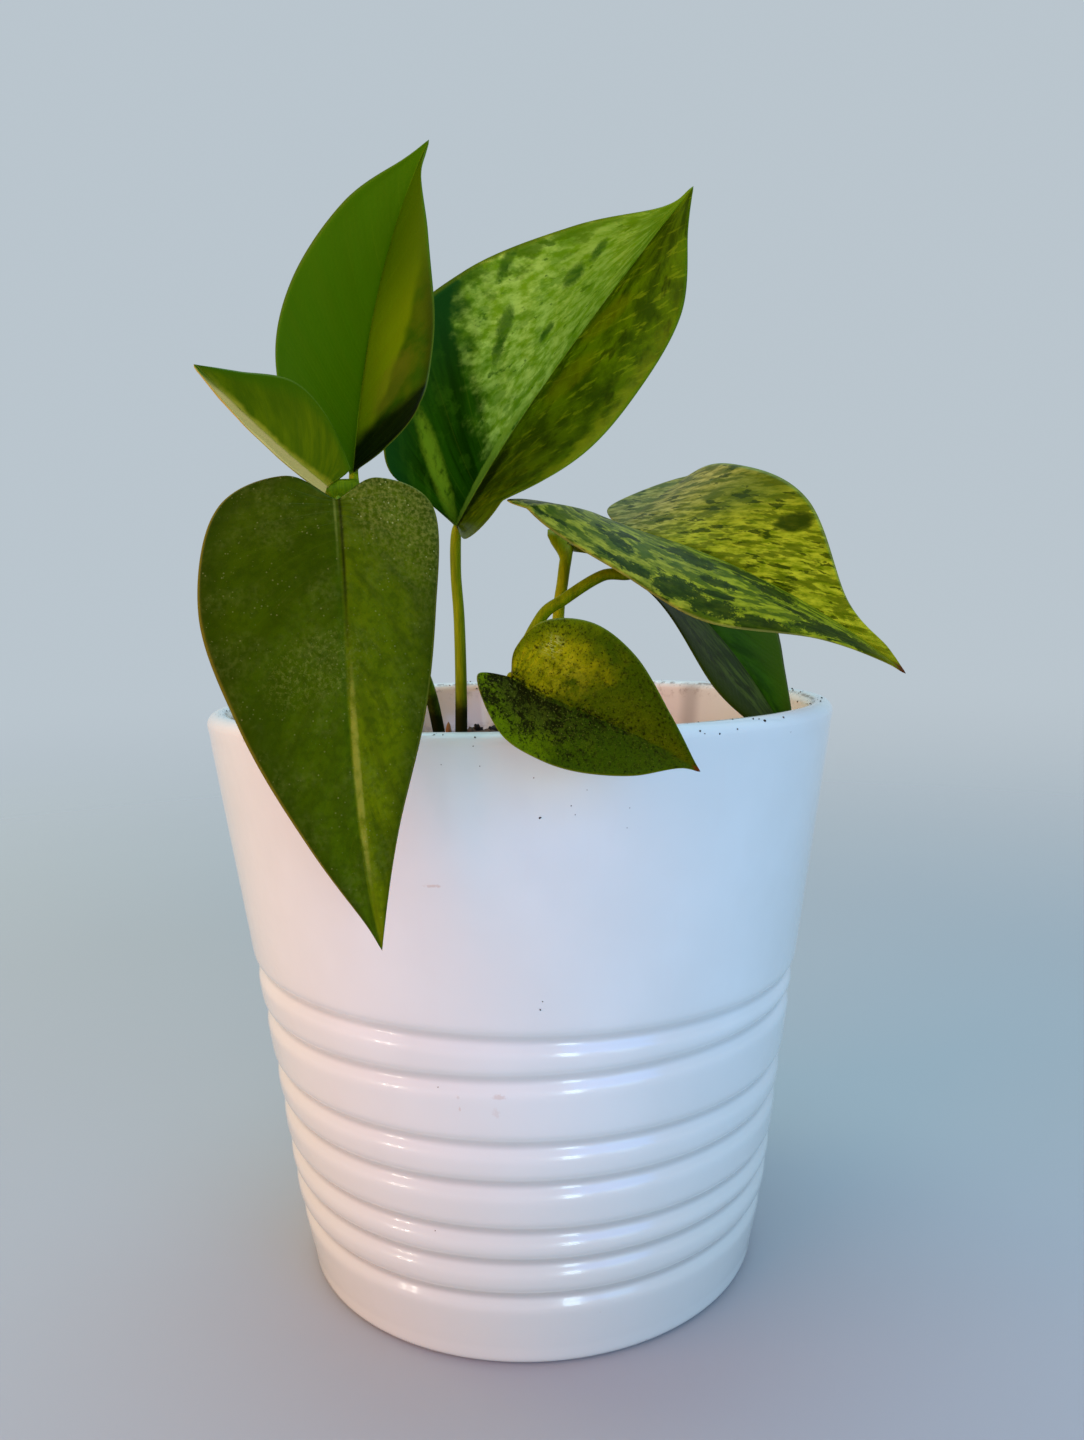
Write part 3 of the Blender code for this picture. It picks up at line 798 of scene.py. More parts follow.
# %% Bend a blade
class Spine:
    """The midrib's curve, with the way along it, out of the upper face and to the right."""

    def __init__(self, blade):
        t = np.linspace(0, 1, 64)[:, None]
        base, pull, push, tip = np.array(blade.midrib, float)
        self.line = base * (1 - t) ** 3 + 3 * pull * t * (1 - t) ** 2 + 3 * push * t**2 * (1 - t) + tip * t**3
        slope = (pull - base) * (1 - t) ** 2 + 2 * (push - pull) * t * (1 - t) + (tip - push) * t**2
        self.forward = unit(slope)
        azimuth, elevation = np.radians(blade.face)
        level = np.cos(elevation)
        looks = np.array([np.sin(azimuth) * level, -np.cos(azimuth) * level, np.sin(elevation)])
        up = unit(looks - (self.forward @ looks)[:, None] * self.forward)
        steps = np.linalg.norm(np.diff(self.line, axis=0), axis=1)
        self.place = np.concatenate([[0], np.cumsum(steps)])
        self.length = self.place[-1]
        turn = np.radians(blade.twist) * (self.place / self.length)[:, None]
        self.up = np.cos(turn) * up + np.sin(turn) * np.cross(self.forward, up)
        self.right = np.cross(self.forward, self.up)

    def at(self, vectors, distance):
        """Reads one of the spine's lines of vectors at distances from the base."""
        return np.stack([np.interp(distance, self.place, vectors[:, k]) for k in range(3)], axis=-1)


def half_outline(half, length, fractions):
    """Points (along, across) on the flat edge of a half, at fractions of the edge's length."""
    points = [(0, 0), (-half.lobe, half.lobe_breadth)]
    points += [(place * length, breadth) for place, breadth in zip(STATIONS, half.breadths)]
    points.append((length, 0))
    return along(smooth_line(points), fractions)


def raise_half(spine, half, greatest, side, distance, across):
    """Bends flat places of a half about the midrib and puts them in space."""
    inside = np.clip(distance, 0, spine.length)
    behind = np.minimum(distance, 0)[..., None] * spine.forward[0]
    fold = np.radians(np.interp(inside / spine.length, (0, 1), half.fold))
    bend = np.radians(half.curl or 0.01) / greatest
    out = (np.sin(fold + bend * across) - np.sin(fold)) / bend
    rise = (np.cos(fold) - np.cos(fold + bend * across)) / bend
    right = unit(spine.at(spine.right, inside))
    up = unit(spine.at(spine.up, inside))
    return spine.at(spine.line, inside) + behind + side * out[..., None] * right + rise[..., None] * up


# %% Relief and thickness of a blade
BLADE_ROWS = 150
BLADE_COLUMNS = 34
COLUMN_CROWDING = 1.15
MIDDLE_THICKNESS = 0.6
EDGE_THICKNESS = 0.3
SIDE_VEINS = 13
VEIN_SHIFT = 0.4
CREASE_DEPTH = 0.2
CREASE_BREADTH = 0.6
RIB_HEIGHT = 0.5
RIB_BREADTH = 0.8
VEIN_DEPTH = 0.04
VEIN_BREADTH = 0.45
WAVE_HEIGHT = 0.45
WAVE_SIZE = 13
BUCKLE_HEIGHT = 0.3
BUCKLE_SIZE = 12
WANDER = 0.35
WANDER_SIZE = 17
EDGE_SETTLE = 12
END_SETTLE = 40


def blade_sheet(blade):
    """The blade's middle surface, and each point's vein, signed reach, and flat place."""
    spine = Spine(blade)
    veins = np.arange(1, BLADE_ROWS) / BLADE_ROWS
    roots = spine.length * veins**VEIN_LEAN
    reach = np.linspace(0, 1, BLADE_COLUMNS + 1) ** COLUMN_CROWDING
    greatest = max(blade.left.breadths + blade.right.breadths)
    grids, places = [], []
    for half, side in ((blade.left, -1), (blade.right, 1)):
        edge = half_outline(half, spine.length, veins)
        distance = roots[:, None] + (edge[:, :1] - roots[:, None]) * reach**VEIN_BEND
        across = edge[:, 1:] * reach
        grids.append(raise_half(spine, half, greatest, side, distance, across))
        vein_grid = np.broadcast_to(veins[:, None], distance.shape)
        reach_grid = side * np.broadcast_to(reach, distance.shape)
        places.append(np.stack([vein_grid, reach_grid, distance, side * across], -1))
    sheet = np.concatenate([grids[0][:, :0:-1], grids[1]], axis=1)
    return spine, sheet, np.concatenate([places[0][:, :0:-1], places[1]], axis=1)


def sheet_normals(sheet, spine):
    """The way out of the upper face at every point of the sheet."""
    normals = unit(np.cross(np.gradient(sheet, axis=0), np.gradient(sheet, axis=1)))
    middle = sheet.shape[1] // 2
    looks = np.sum(normals[len(sheet) // 2, middle] * spine.up[len(spine.up) // 2])
    return normals * np.sign(looks)


def relief(place, seed, quilt):
    """How far the sheet waves as a whole, and how its upper and lower faces stand from it."""
    vein, reach, distance, across = np.moveaxis(place, -1, 0)
    away = abs(reach)
    length = distance.max()
    fade = 1 - 0.75 * np.clip(distance / length, 0, 1)
    wander = WANDER * value_noise(distance, across * 0, WANDER_SIZE, seed)
    number = vein * SIDE_VEINS + wander + (across > 0) * VEIN_SHIFT
    part = number - np.floor(number)
    between = np.sin(np.pi * part) ** 2 * np.sin(np.pi * np.clip(away, 0, 1)) ** 0.7
    gap = np.minimum(part, 1 - part) * length * 1.25 / SIDE_VEINS
    sunk_vein = VEIN_DEPTH * np.exp(-((gap / VEIN_BREADTH) ** 2)) * (1 - away) ** 0.5 * (away > 0)
    crease = CREASE_DEPTH * np.exp(-((across / CREASE_BREADTH) ** 2)) * fade
    rib = RIB_HEIGHT * np.exp(-((across / RIB_BREADTH) ** 2)) * fade
    wave = WAVE_HEIGHT * away**3 * value_noise(vein * 90, np.sign(across) * 20, WAVE_SIZE, seed + 5)
    buckle = BUCKLE_HEIGHT * value_noise(distance, across, BUCKLE_SIZE, seed + 9) * away**0.5
    return wave + buckle, quilt * between - sunk_vein - crease, rib - quilt * between


def cut_leaf(blade, seed, material, slot, quilt=0.05):
    """One leaf as a closed body: an upper and a lower face that meet along a thin edge."""
    spine, sheet, place = blade_sheet(blade)
    normals = sheet_normals(sheet, spine)
    wave, top, bottom = relief(place, seed, quilt)
    ahead, away = place[..., 0], abs(place[..., 1])
    half_thick = 0.5 * (MIDDLE_THICKNESS + (EDGE_THICKNESS - MIDDLE_THICKNESS) * away)
    settle = np.clip((1 - away) * EDGE_SETTLE, 0, 1)
    settle = settle * np.clip(np.minimum(ahead, 1 - ahead) * END_SETTLE, 0, 1)
    middle = sheet + normals * (wave * settle)[..., None]
    upper = middle + normals * (half_thick + top * settle)[..., None]
    lower = middle - normals * (half_thick + bottom * settle)[..., None]
    upper[:, [0, -1]] = middle[:, [0, -1]]
    ends = np.array([blade.midrib[0], blade.midrib[-1]], float)
    points = np.vstack([upper.reshape(-1, 3), lower[:, 1:-1].reshape(-1, 3), ends])
    under_place = place[:, 1:-1].reshape(-1, 4)
    upper_count = upper.shape[0] * upper.shape[1]
    face_flag = np.concatenate([np.ones(upper_count), -np.ones(len(under_place)), [0, 0]])
    end_places = [[0, 0, 0, 0], [1, 0, spine.length, 0]]
    tags = np.vstack([place.reshape(-1, 4), under_place, end_places])
    vein = np.stack([tags[:, 0], tags[:, 1], face_flag], axis=-1)
    flat = np.stack([tags[:, 2], tags[:, 3], np.full(len(tags), 7.0 * seed)], axis=-1)
    piece_name = blade.name.replace("leaf_", "") + "_leaf"
    faces = leaf_faces(*sheet.shape[:2])
    return add_piece(piece_name, points, faces, material, slot, [blade.name], vein=vein, flat=flat)


def leaf_faces(rows, width):
    """Quads of the two faces, which share their edge columns, with a fan at each end."""
    upper = np.arange(rows * width).reshape(rows, width)
    lower = np.array(upper)
    lower[:, 1:-1] = rows * width + np.arange(rows * (width - 2)).reshape(rows, width - 2)
    base = rows * width + rows * (width - 2)
    tip = base + 1
    quads = []
    for grid, way in ((upper, -1), (lower, 1)):
        corners = np.stack([grid[:-1, :-1], grid[1:, :-1], grid[1:, 1:], grid[:-1, 1:]], -1).reshape(-1, 4)
        fans = [(base, a, b) for a, b in zip(grid[0], grid[0, 1:])]
        fans += [(tip, b, a) for a, b in zip(grid[-1], grid[-1, 1:])]
        quads += [row[::way] for row in corners.tolist()] + [fan[::way] for fan in fans]
    return [[int(corner) for corner in face] for face in quads]


# %% [markdown]
# ## Leaf finishes
#
# All leaves share one waxy skin: a paler midrib, faint side veins, a thin pale margin, a dull
# underside, some dust and a fine grain. What differs is the paint of the upper face, from plain
# olive to marbled. A marbled leaf's pale patches follow its veins, so their noise is read in
# the blade's own coordinates: which vein, and how far out along it.

# %% What a leaf finish knows about its place
@dataclass
class LeafPlace:
    """Where on the blade a shader stands, as Shades."""

    vein: Shade
    away: Shade
    right: Shade
    upper: Shade
    distance: Shade
    across: Shade
    flow: Shade
    flat: Shade


def leaf_place(start):
    """Reads the two attributes that every blade stores."""
    tag = stored(start, "vein", "Vector")
    flat = stored(start, "flat", "Vector")
    vein, reach = tag.part(0), tag.part(1)
    away = abs(reach)
    right = (reach * 50).rise(-0.5, 0.5)
    numbers = {"X": vein * 90, "Y": away * 25, "Z": right * 30 + flat.part(2)}
    flow = start.node("ShaderNodeCombineXYZ", sockets=numbers)
    upper = tag.part(2).rise(-0.2, 0.2)
    return LeafPlace(vein, away, right, upper, flat.part(0), flat.part(1), flow, flat)


def patches(x, y, z, detail, low, high):
    """A mask of noise read at the place that three Shades give."""
    place = x.node("ShaderNodeCombineXYZ", sockets={"X": x, "Y": y, "Z": z})
    return place.noise(1.0, detail, 0.6).rise(low, high)


def streaks(place, breadth, length, low, high, detail=3, shift=0):
    """A mask of patches drawn out along the veins, breadth by length in millimetres."""
    vector = place.flow.stretched(1 / breadth, 1 / length, 1).shifted(shift, 0, 0)
    return vector.noise(1.0, detail, 0.6).rise(low, high)


def spots(place, size, low, high, detail=2, shift=0):
    """A mask of rounder patches, size across in millimetres."""
    return place.flat.shifted(shift, 0, 0).noise(1 / size, detail, 0.6).rise(low, high)


def brushed(place, turn, breadth, length, low, high, detail=3, shift=0):
    """A mask of patches drawn out at an angle from the midrib, the same way on both halves."""
    turn = math.radians(turn)
    out = abs(place.across)
    ahead = place.distance * math.cos(turn) + out * math.sin(turn)
    aside = out * math.cos(turn) - place.distance * math.sin(turn)
    return patches(ahead / length + shift, aside / breadth, place.right * 9, detail, low, high)


def lengthwise(place, breadth, length, low, high, detail=3, shift=0):
    """A mask of patches drawn out from base to tip, breadth by length in millimetres."""
    ahead, out = place.distance / length + shift, place.away * (20 / breadth)
    return patches(ahead, out, place.right * 9, detail, low, high)


def blotch(place, centre, size, turn=0.0, ragged=0.9, soft=0.55):
    """One ragged oval: its centre (distance, across), its length and breadth, and its turn."""
    turn = math.radians(turn)
    ahead, out = place.distance - centre[0], place.across - centre[1]
    long_way = (ahead * math.cos(turn) + out * math.sin(turn)) * (2 / size[0])
    short_way = (out * math.cos(turn) - ahead * math.sin(turn)) * (2 / size[1])
    edge = (place.flat.noise(0.7, 5, 0.75) - 0.5) * ragged
    return (long_way * long_way + short_way * short_way + edge).rise(0.95 + soft, 0.95 - soft)


# %% The waxy skin that all leaves share
def side_vein_lines(place):
    """Thin lines along the side veins, strongest near the midrib."""
    number = place.vein * SIDE_VEINS + place.right * VEIN_SHIFT
    part = abs(number.maths("FRACT", number) - 0.5)
    return part.rise(0.462, 0.5) * place.away.rise(1.0, 0.3)


def waxy(name, paint, midrib, under, margin, gloss=0.4, dust=0.3, tip=None, veins=0.06, rib=0.5):
    """A leaf's whole finish round the paint of its upper face."""
    material, start = new_finish(name, IOR=1.45, Specular_IOR_Level=0.11, Specular_Tint=(1.0, 1.0, 0.1, 1.0))
    place = leaf_place(start)
    colour = paint(place)
    colour = (side_vein_lines(place) * veins).pick(colour, midrib)
    rib_width = (1 - place.vein) * 0.3 + 0.15
    colour = ((abs(place.across) / rib_width).rise(1.3, 0.5) * rib).pick(colour, midrib)
    colour = (1 - place.upper).pick(colour, (spots(place, 9, 0.3, 0.7) * 0.4).pick(under, midrib))
    dry = spots(place, 0.8, 0.35, 0.7, 4)
    powder = spots(place, 7, 0.42, 0.66) * dry * place.upper * dust
    mote = place.flat.cells(1.6).rise(0.12, 0.04) * spots(place, 5, 0.5, 0.56)
    mote = mote * place.upper * min(dust * 1.6, 1)
    colour = (powder * 0.3).pick(colour, tint(130, 138, 60))
    colour = (mote * 0.6).pick(colour, tint(150, 156, 90))
    colour = (place.away.rise(0.975, 0.995) * 0.5).pick(colour, margin)
    if tip:
        colour = place.vein.rise(0.976, 0.99).pick(colour, tip)
    roughness = gloss + powder * 0.3 + mote * 0.3 + (1 - place.upper) * 0.2
    roughness = roughness + spots(place, 3, 0.3, 0.7) * 0.06
    grain = place.flat.noise(5.5, 3, 0.6) * 0.12 + place.flat.noise(1.3, 3) * 0.3
    fine_turn = place.vein * (SIDE_VEINS * 10 * math.pi)
    fine_veins = fine_turn.maths("SINE", fine_turn)
    height = grain + fine_veins * 0.03 - side_vein_lines(place) * 0.1
    return coat(material, colour, roughness, height, bump_distance=0.3 * MM, bump_strength=0.5)


# %% [markdown]
# The hanging leaf is the darkest and plainest: an old olive leaf, dusty on one lobe, with one pale streak
# beside the lower midrib. Its left half is painted darker than its right as painted shade, and painted
# glints, a painted shadow and a line of painted light lie on it. It hangs tip down, so left and right in its
# paint are as one sees it from the front, and its across runs the other way.

# %% Olive paint
def olive_paint(place):
    # Painted shade: the left half is painted darker than the right.
    lobe_side = place.across.rise(0.3, -0.3)
    left = place.vein.rise(0.2, 1.0).pick(tint(48, 66, 0), tint(62, 84, 0))
    right = place.vein.rise(0.2, 1.0).pick(tint(76, 88, 0), tint(98, 112, 0))
    colour = lobe_side.pick(left, right)
    colour = (spots(place, 9, 0.35, 0.65) * 0.4).pick(colour, tint(64, 84, 0))
    colour = (streaks(place, 5, 14, 0.42, 0.66) * 0.45).pick(colour, tint(38, 54, 0))
    colour = (spots(place, 1.5, 0.4, 0.66, 5, 90) * 0.45).pick(colour, tint(34, 52, 0))
    colour = (place.away.rise(0.72, 1.0) * 0.55).pick(colour, tint(30, 46, 0))
    beside = place.across.rise(-2.4, -0.2) * lobe_side
    colour = (beside * place.vein.rise(0.66, 0.8) * 0.32).pick(colour, tint(120, 122, 8))
    streak = blotch(place, (45.0, -0.6), (30.0, 1.1), 0.5, 2.4, 0.8) * lobe_side
    colour = (streak * spots(place, 2.2, 0.25, 0.6, 4) * 0.7).pick(colour, tint(152, 146, 50))
    scuff = blotch(place, (27.0, 4.0), (20.0, 11.0), 60, 2.6) * place.flat.noise(1.4, 6, 0.85).rise(0.5, 0.62)
    colour = (scuff * 0.35).pick(colour, tint(128, 134, 56))
    dusty = lobe_side * place.vein.rise(0.5, 0.2) * place.away.rise(0.05, 0.3)
    colour = (dusty * spots(place, 0.7, 0.4, 0.66, 4) * 0.6).pick(colour, tint(132, 128, 52))
    # Painted glints: tiny pale dots, most on the dusty lobe.
    sparkle = place.flat.cells(1.1).rise(0.2, 0.08) * spots(place, 3, 0.45, 0.6, shift=70)
    colour = (sparkle * (dusty * 0.7 + 0.25)).pick(colour, tint(166, 162, 96))
    shadow = place.across.bell(-0.35, 0.5) * place.vein.rise(0.75, 0.5)
    colour = (shadow * 0.85).pick(colour, tint(10, 16, 0))
    light = place.across.bell(0.45, 0.35) * place.vein.rise(0.6, 0.3)
    return (light * spots(place, 2.5, 0.3, 0.6) * 0.6).pick(colour, tint(120, 126, 50))


cut_leaf(
    BLADES["hanging"], 1,
    waxy("olive_leaf", olive_paint, tint(96, 108, 16), tint(84, 100, 30), tint(150, 148, 40),
         dust=0.45, rib=0.05),
    "leaf_olive",
)

# %% [markdown]
# The upright leaf is clear mid green. Light comes through the right half beside the midrib and turns it
# yellow. Beyond that band the right half is painted a darker olive as painted shade, and at its base it is a
# near-black painted shadow. The young leaf is the same green, and its lower half, seen against the light, is
# a pale yellow.

# %% Green paints
def upright_paint(place):
    colour = place.vein.rise(0.2, 1.0).pick(tint(66, 100, 0), tint(78, 110, 0))
    colour = (streaks(place, 6, 24, 0.35, 0.7) * 0.4).pick(colour, tint(80, 104, 0))
    colour = (place.right * place.vein.rise(0.7, 0.9)).pick(colour, tint(66, 98, 0))
    olive_edge = (place.vein - 0.46).most(0.0) * 2.2 + 0.26
    beyond = place.away + (spots(place, 7, 0.2, 0.8, 1) - 0.5) * 0.1 - olive_edge
    low = (place.vein - (1 - place.away) * 0.12).rise(0.78, 0.6) * place.right
    lit = low * beyond.rise(0.08, -0.08) * place.vein.rise(0.05, 0.3)
    colour = (lit * 0.75).pick(colour, tint(104, 132, 2))
    # Painted shade: beyond the yellow band the right half is painted a darker olive.
    brown = spots(place, 6, 0.35, 0.65, 3).pick(tint(42, 80, 0), tint(66, 90, 2))
    colour = (low * beyond.rise(-0.05, 0.1) * 0.95).pick(colour, brown)
    warm = blotch(place, (17.0, 9.0), (16.0, 8.0), 20, 1.6) * place.right
    colour = (warm * 0.3).pick(colour, tint(104, 106, 24))
    shade = place.right * place.vein.rise(0.9, 0.5) * place.away.rise(0.82, 1.0)
    colour = (shade * 0.7).pick(colour, tint(30, 44, 0))
    # Painted shadow: the right half is near black at its base.
    base = place.right * (place.distance + (spots(place, 6, 0.2, 0.8, 1) - 0.5) * 2).rise(11.5, 5.5)
    return base.pick(colour, tint(3, 9, 0))


def young_paint(place):
    colour = streaks(place, 7, 24, 0.35, 0.7).pick(tint(72, 90, 0), tint(94, 106, 0))
    colour = place.away.rise(0.72, 1.0).pick(colour, tint(62, 92, 0))
    edge = place.across + (spots(place, 4, 0.2, 0.8) - 0.5) * 0.9
    pale = edge.rise(1.2, 0.2) * place.vein.rise(0.97, 0.88)
    return pale.pick(colour, place.across.rise(0.6, -1.5).pick(tint(158, 146, 30), tint(222, 186, 104)))


cut_leaf(
    BLADES["upright"], 2,
    waxy("green_leaf", upright_paint, tint(122, 130, 10), tint(96, 124, 36), tint(104, 130, 30),
         dust=0.04, rib=0.35),
    "leaf_green",
)
cut_leaf(
    BLADES["young"], 3,
    waxy("young_leaf", young_paint, tint(150, 150, 40), tint(190, 168, 84), tint(120, 140, 40), dust=0.0),
    "leaf_green",
)

# %% [markdown]
# The tall leaf is the showpiece: its left half is marbled in pale green, apart from a dark sector that runs
# out from the base along the veins and holds one bright streak; towards its edge the sector turns teal, a
# painted sheen. Its right half is darker and olive, partly its own colour and partly painted shade, flecked
# with yellow-green, and a near-black painted shadow lies along its midrib near the base.

# %% Marbled paint of the tall leaf
def tall_paint(place):
    grain = lengthwise(place, 1.1, 3.4, 0.34, 0.66, 5)
    pale = grain.pick(tint(132, 162, 18), tint(196, 212, 80))
    pale = (lengthwise(place, 1.9, 5.5, 0.5, 0.6, 4, 3) * 0.55).pick(pale, tint(96, 134, 8))
    pale = (lengthwise(place, 2.0, 5, 0.59, 0.66, 4, 13) * 0.8).pick(pale, tint(54, 94, 4))
    band = place.away + (lengthwise(place, 2, 6, 0.2, 0.8, 4, 60) - 0.5) * 0.4
    pale = (band.rise(0.86, 1.02) * 0.8).pick(pale, tint(78, 108, 2))
    near_tip = place.vein + (lengthwise(place, 2, 8, 0.2, 0.8, 4, 90) - 0.5) * 0.12
    pale = (near_tip.rise(0.86, 0.98) * 0.85).pick(pale, tint(86, 116, 4))
    patches = lengthwise(place, 2.4, 7, 0.3, 0.7, 4, 31) * 0.16 - place.vein
    pale = (patches.rise(-0.58, -0.5) * 0.25).pick(pale, tint(72, 118, 14))
    pale = (place.vein.rise(0.68, 0.86) * 0.45).pick(pale, tint(112, 142, 4))
    mottled = grain * 0.35 + 0.6
    for centre, size, turn in (((44.0, -17.9), (8.0, 3.4), -14), ((38.5, -16.0), (7.0, 2.6), -18),
                               ((54.5, -25.4), (9.0, 2.6), -8), ((62.5, -10.4), (7.0, 3.0), 4),
                               ((49.0, -8.0), (5.0, 1.8), 0), ((70.0, -9.0), (6.0, 2.0), 4)):
        pale = (blotch(place, centre, size, turn, 2.6, 0.8) * mottled).pick(pale, tint(48, 88, 6))
    waver = (place.flat.noise(0.2, 2, 0.5) - 0.5) * 0.12
    sector = (place.vein + waver + (grain - 0.5) * 0.02).rise(0.61, 0.53)
    deep = streaks(place, 4, 18, 0.35, 0.65).pick(tint(18, 50, 0), tint(38, 80, 2))
    deep = (lengthwise(place, 2.5, 6, 0.52, 0.64, 4, 77) * 0.35).pick(deep, tint(66, 104, 10))
    # Painted reflection: the dark sector turns teal towards its edge, standing for a bluish sheen.
    deep = place.away.rise(0.5, 1.0).pick(deep, tint(14, 66, 16))
    left = sector.pick(pale, deep)
    stripe = blotch(place, (7.5, -14.0), (26.0, 4.6), -60, 1.2, 0.85)
    stripe = stripe * lengthwise(place, 1.5, 3, 0.2, 0.5, 3, 8)
    left = (stripe * 0.85).pick(left, tint(132, 158, 24))
    left = (blotch(place, (16.0, -1.2), (36.0, 2.2), -3, 1.0) * 0.7).pick(left, tint(150, 172, 40))
    # The right half's darker olive is partly its own colour and partly painted shade.
    right = lengthwise(place, 4, 8, 0.36, 0.64, 4).pick(tint(46, 72, 0), tint(80, 112, 0))
    right = (brushed(place, 26, 1.7, 6, 0.55, 0.63, 4, 5) * 0.5).pick(right, tint(120, 146, 14))
    right = (lengthwise(place, 2.6, 8, 0.56, 0.68, 3, 21) * 0.7).pick(right, tint(28, 44, 0))
    for centre, size in (((60.0, 4.0), (15.0, 5.0)), ((44.0, 6.5), (16.0, 7.0))):
        right = (blotch(place, centre, size, 12, 1.6) * 0.45).pick(right, tint(104, 118, 2))
    right = (blotch(place, (79.0, 3.0), (20.0, 6.0), 0, 1.4) * 0.3).pick(right, tint(30, 46, 0))
    right = (place.vein.rise(0.74, 0.52) * 0.38).pick(right, tint(26, 42, 0))
    outer = (place.away + (lengthwise(place, 4, 7, 0.2, 0.8, 3, 44) - 0.5) * 0.2).rise(0.8, 0.97)
    right = (outer * place.vein.bell(0.5, 0.4) * 0.7).pick(right, tint(124, 140, 12))
    # Painted shadow: a near-black wedge along the lower midrib.
    shadow_wedge = blotch(place, (9.0, 2.0), (30.0, 4.4), 6, 0.9)
    right = (shadow_wedge * 0.9).pick(right, tint(8, 18, 0))
    return place.right.pick(left, right)


cut_leaf(
    BLADES["tall"], 4,
    waxy("marbled_tall_leaf", tall_paint, tint(160, 172, 40), tint(110, 124, 30), tint(116, 140, 24),
         dust=0.0),
    "leaf_marbled", quilt=0.25,
)

# %% [markdown]
# The arching leaf is marbled more finely. Its near half is pale grey-green, partly its own colour and partly
# a painted sheen, crossed by dark blotches; its far half turns yellow-green, with one clear dark oval, and
# its tip is brown.

# %% Marbled paint of the arching leaf
NEAR_BLOTCHES = (
    ((22.2, 8.0), (7.0, 5.0), -10), ((27.0, 20.0), (9.0, 6.0), -30), ((19.0, 22.0), (8.0, 3.0), -10),
    ((13.5, 17.4), (7.0, 3.0), 10), ((40.5, 4.2), (10.0, 4.0), -8), ((33.0, 2.6), (14.0, 2.6), -6),
    ((34.0, 19.0), (10.0, 5.0), -34), ((43.0, 15.6), (12.0, 4.0), -38), ((52.0, 6.6), (14.0, 3.0), -38),
    ((31.0, 12.0), (7.0, 3.0), -20), ((58.0, 3.8), (26.0, 2.8), -13), ((25.7, 7.9), (6.0, 5.0), 0),
)


def arching_paint(place):
    near_grain = lengthwise(place, 1.1, 2.8, 0.3, 0.7, 5)
    far_grain = brushed(place, 24, 1.1, 3.2, 0.3, 0.7, 5)
    # Painted sheen: the near half's pale grey-green stands partly for a reflection of the pale room.
    green_and_sheen = near_grain.pick(tint(82, 98, 6), tint(164, 164, 46))
    lime = place.right.pick(far_grain, near_grain).pick(tint(102, 118, 0), tint(180, 182, 34))
    to_lime = (place.vein + (lengthwise(place, 9, 16, 0.2, 0.8, 2, 70) - 0.5) * 0.3).rise(0.54, 0.76)
    near = to_lime.pick(green_and_sheen, lime)
    near = (place.vein.rise(0.45, 0.75) * 0.3).pick(near, tint(66, 84, 0))
    near = (lengthwise(place, 1.8, 5, 0.48, 0.54, 5, 11) * 0.8).pick(near, tint(50, 74, 0))
    dusky = lengthwise(place, 2.8, 7.5, 0.56, 0.6, 4, 33)
    for centre, size, turn in NEAR_BLOTCHES:
        dusky = dusky.most(blotch(place, centre, size, turn, 5.0, 0.25))
    dusky_tint = near_grain.pick(tint(16, 34, 0), tint(42, 62, 0))
    near = (dusky * 0.94).pick(near, dusky_tint)
    base = far_grain.pick(tint(116, 114, 20), tint(182, 172, 84))
    far = place.vein.rise(0.66, 0.34).pick(lime, base)
    far = (place.vein.bell(0.54, 0.14) * place.away.rise(0.3, 0.7) * 0.7).pick(far, tint(78, 94, 2))
    far = (brushed(place, 20, 1.8, 6, 0.48, 0.56, 5, 11) * 0.75).pick(far, tint(70, 84, 0))
    spot = blotch(place, (35.3, -15.0), (8.0, 4.6), -42)
    far_dark = (brushed(place, 16, 1.8, 6, 0.57, 0.6, 4, 52) * 0.9).most(spot)
    far = (far_dark * 0.92).pick(far, tint(36, 52, 0))
    colour = place.right.pick(far, near)
    tip_side = place.vein.rise(0.9, 0.98)
    return (tip_side * 0.6).pick(colour, tint(112, 112, 0))


cut_leaf(
    BLADES["arching"], 5,
    waxy("marbled_arching_leaf", arching_paint, tint(92, 104, 10), tint(96, 112, 40), tint(176, 172, 84),
         dust=0.0, tip=tint(86, 40, 10), rib=0.2),
    "leaf_marbled",
)

# %% [markdown]
# The small leaf lies over the rim, where soil was splashed on it: its yellow-green skin is
# peppered with black specks, thickest along the midrib and over its lower half.

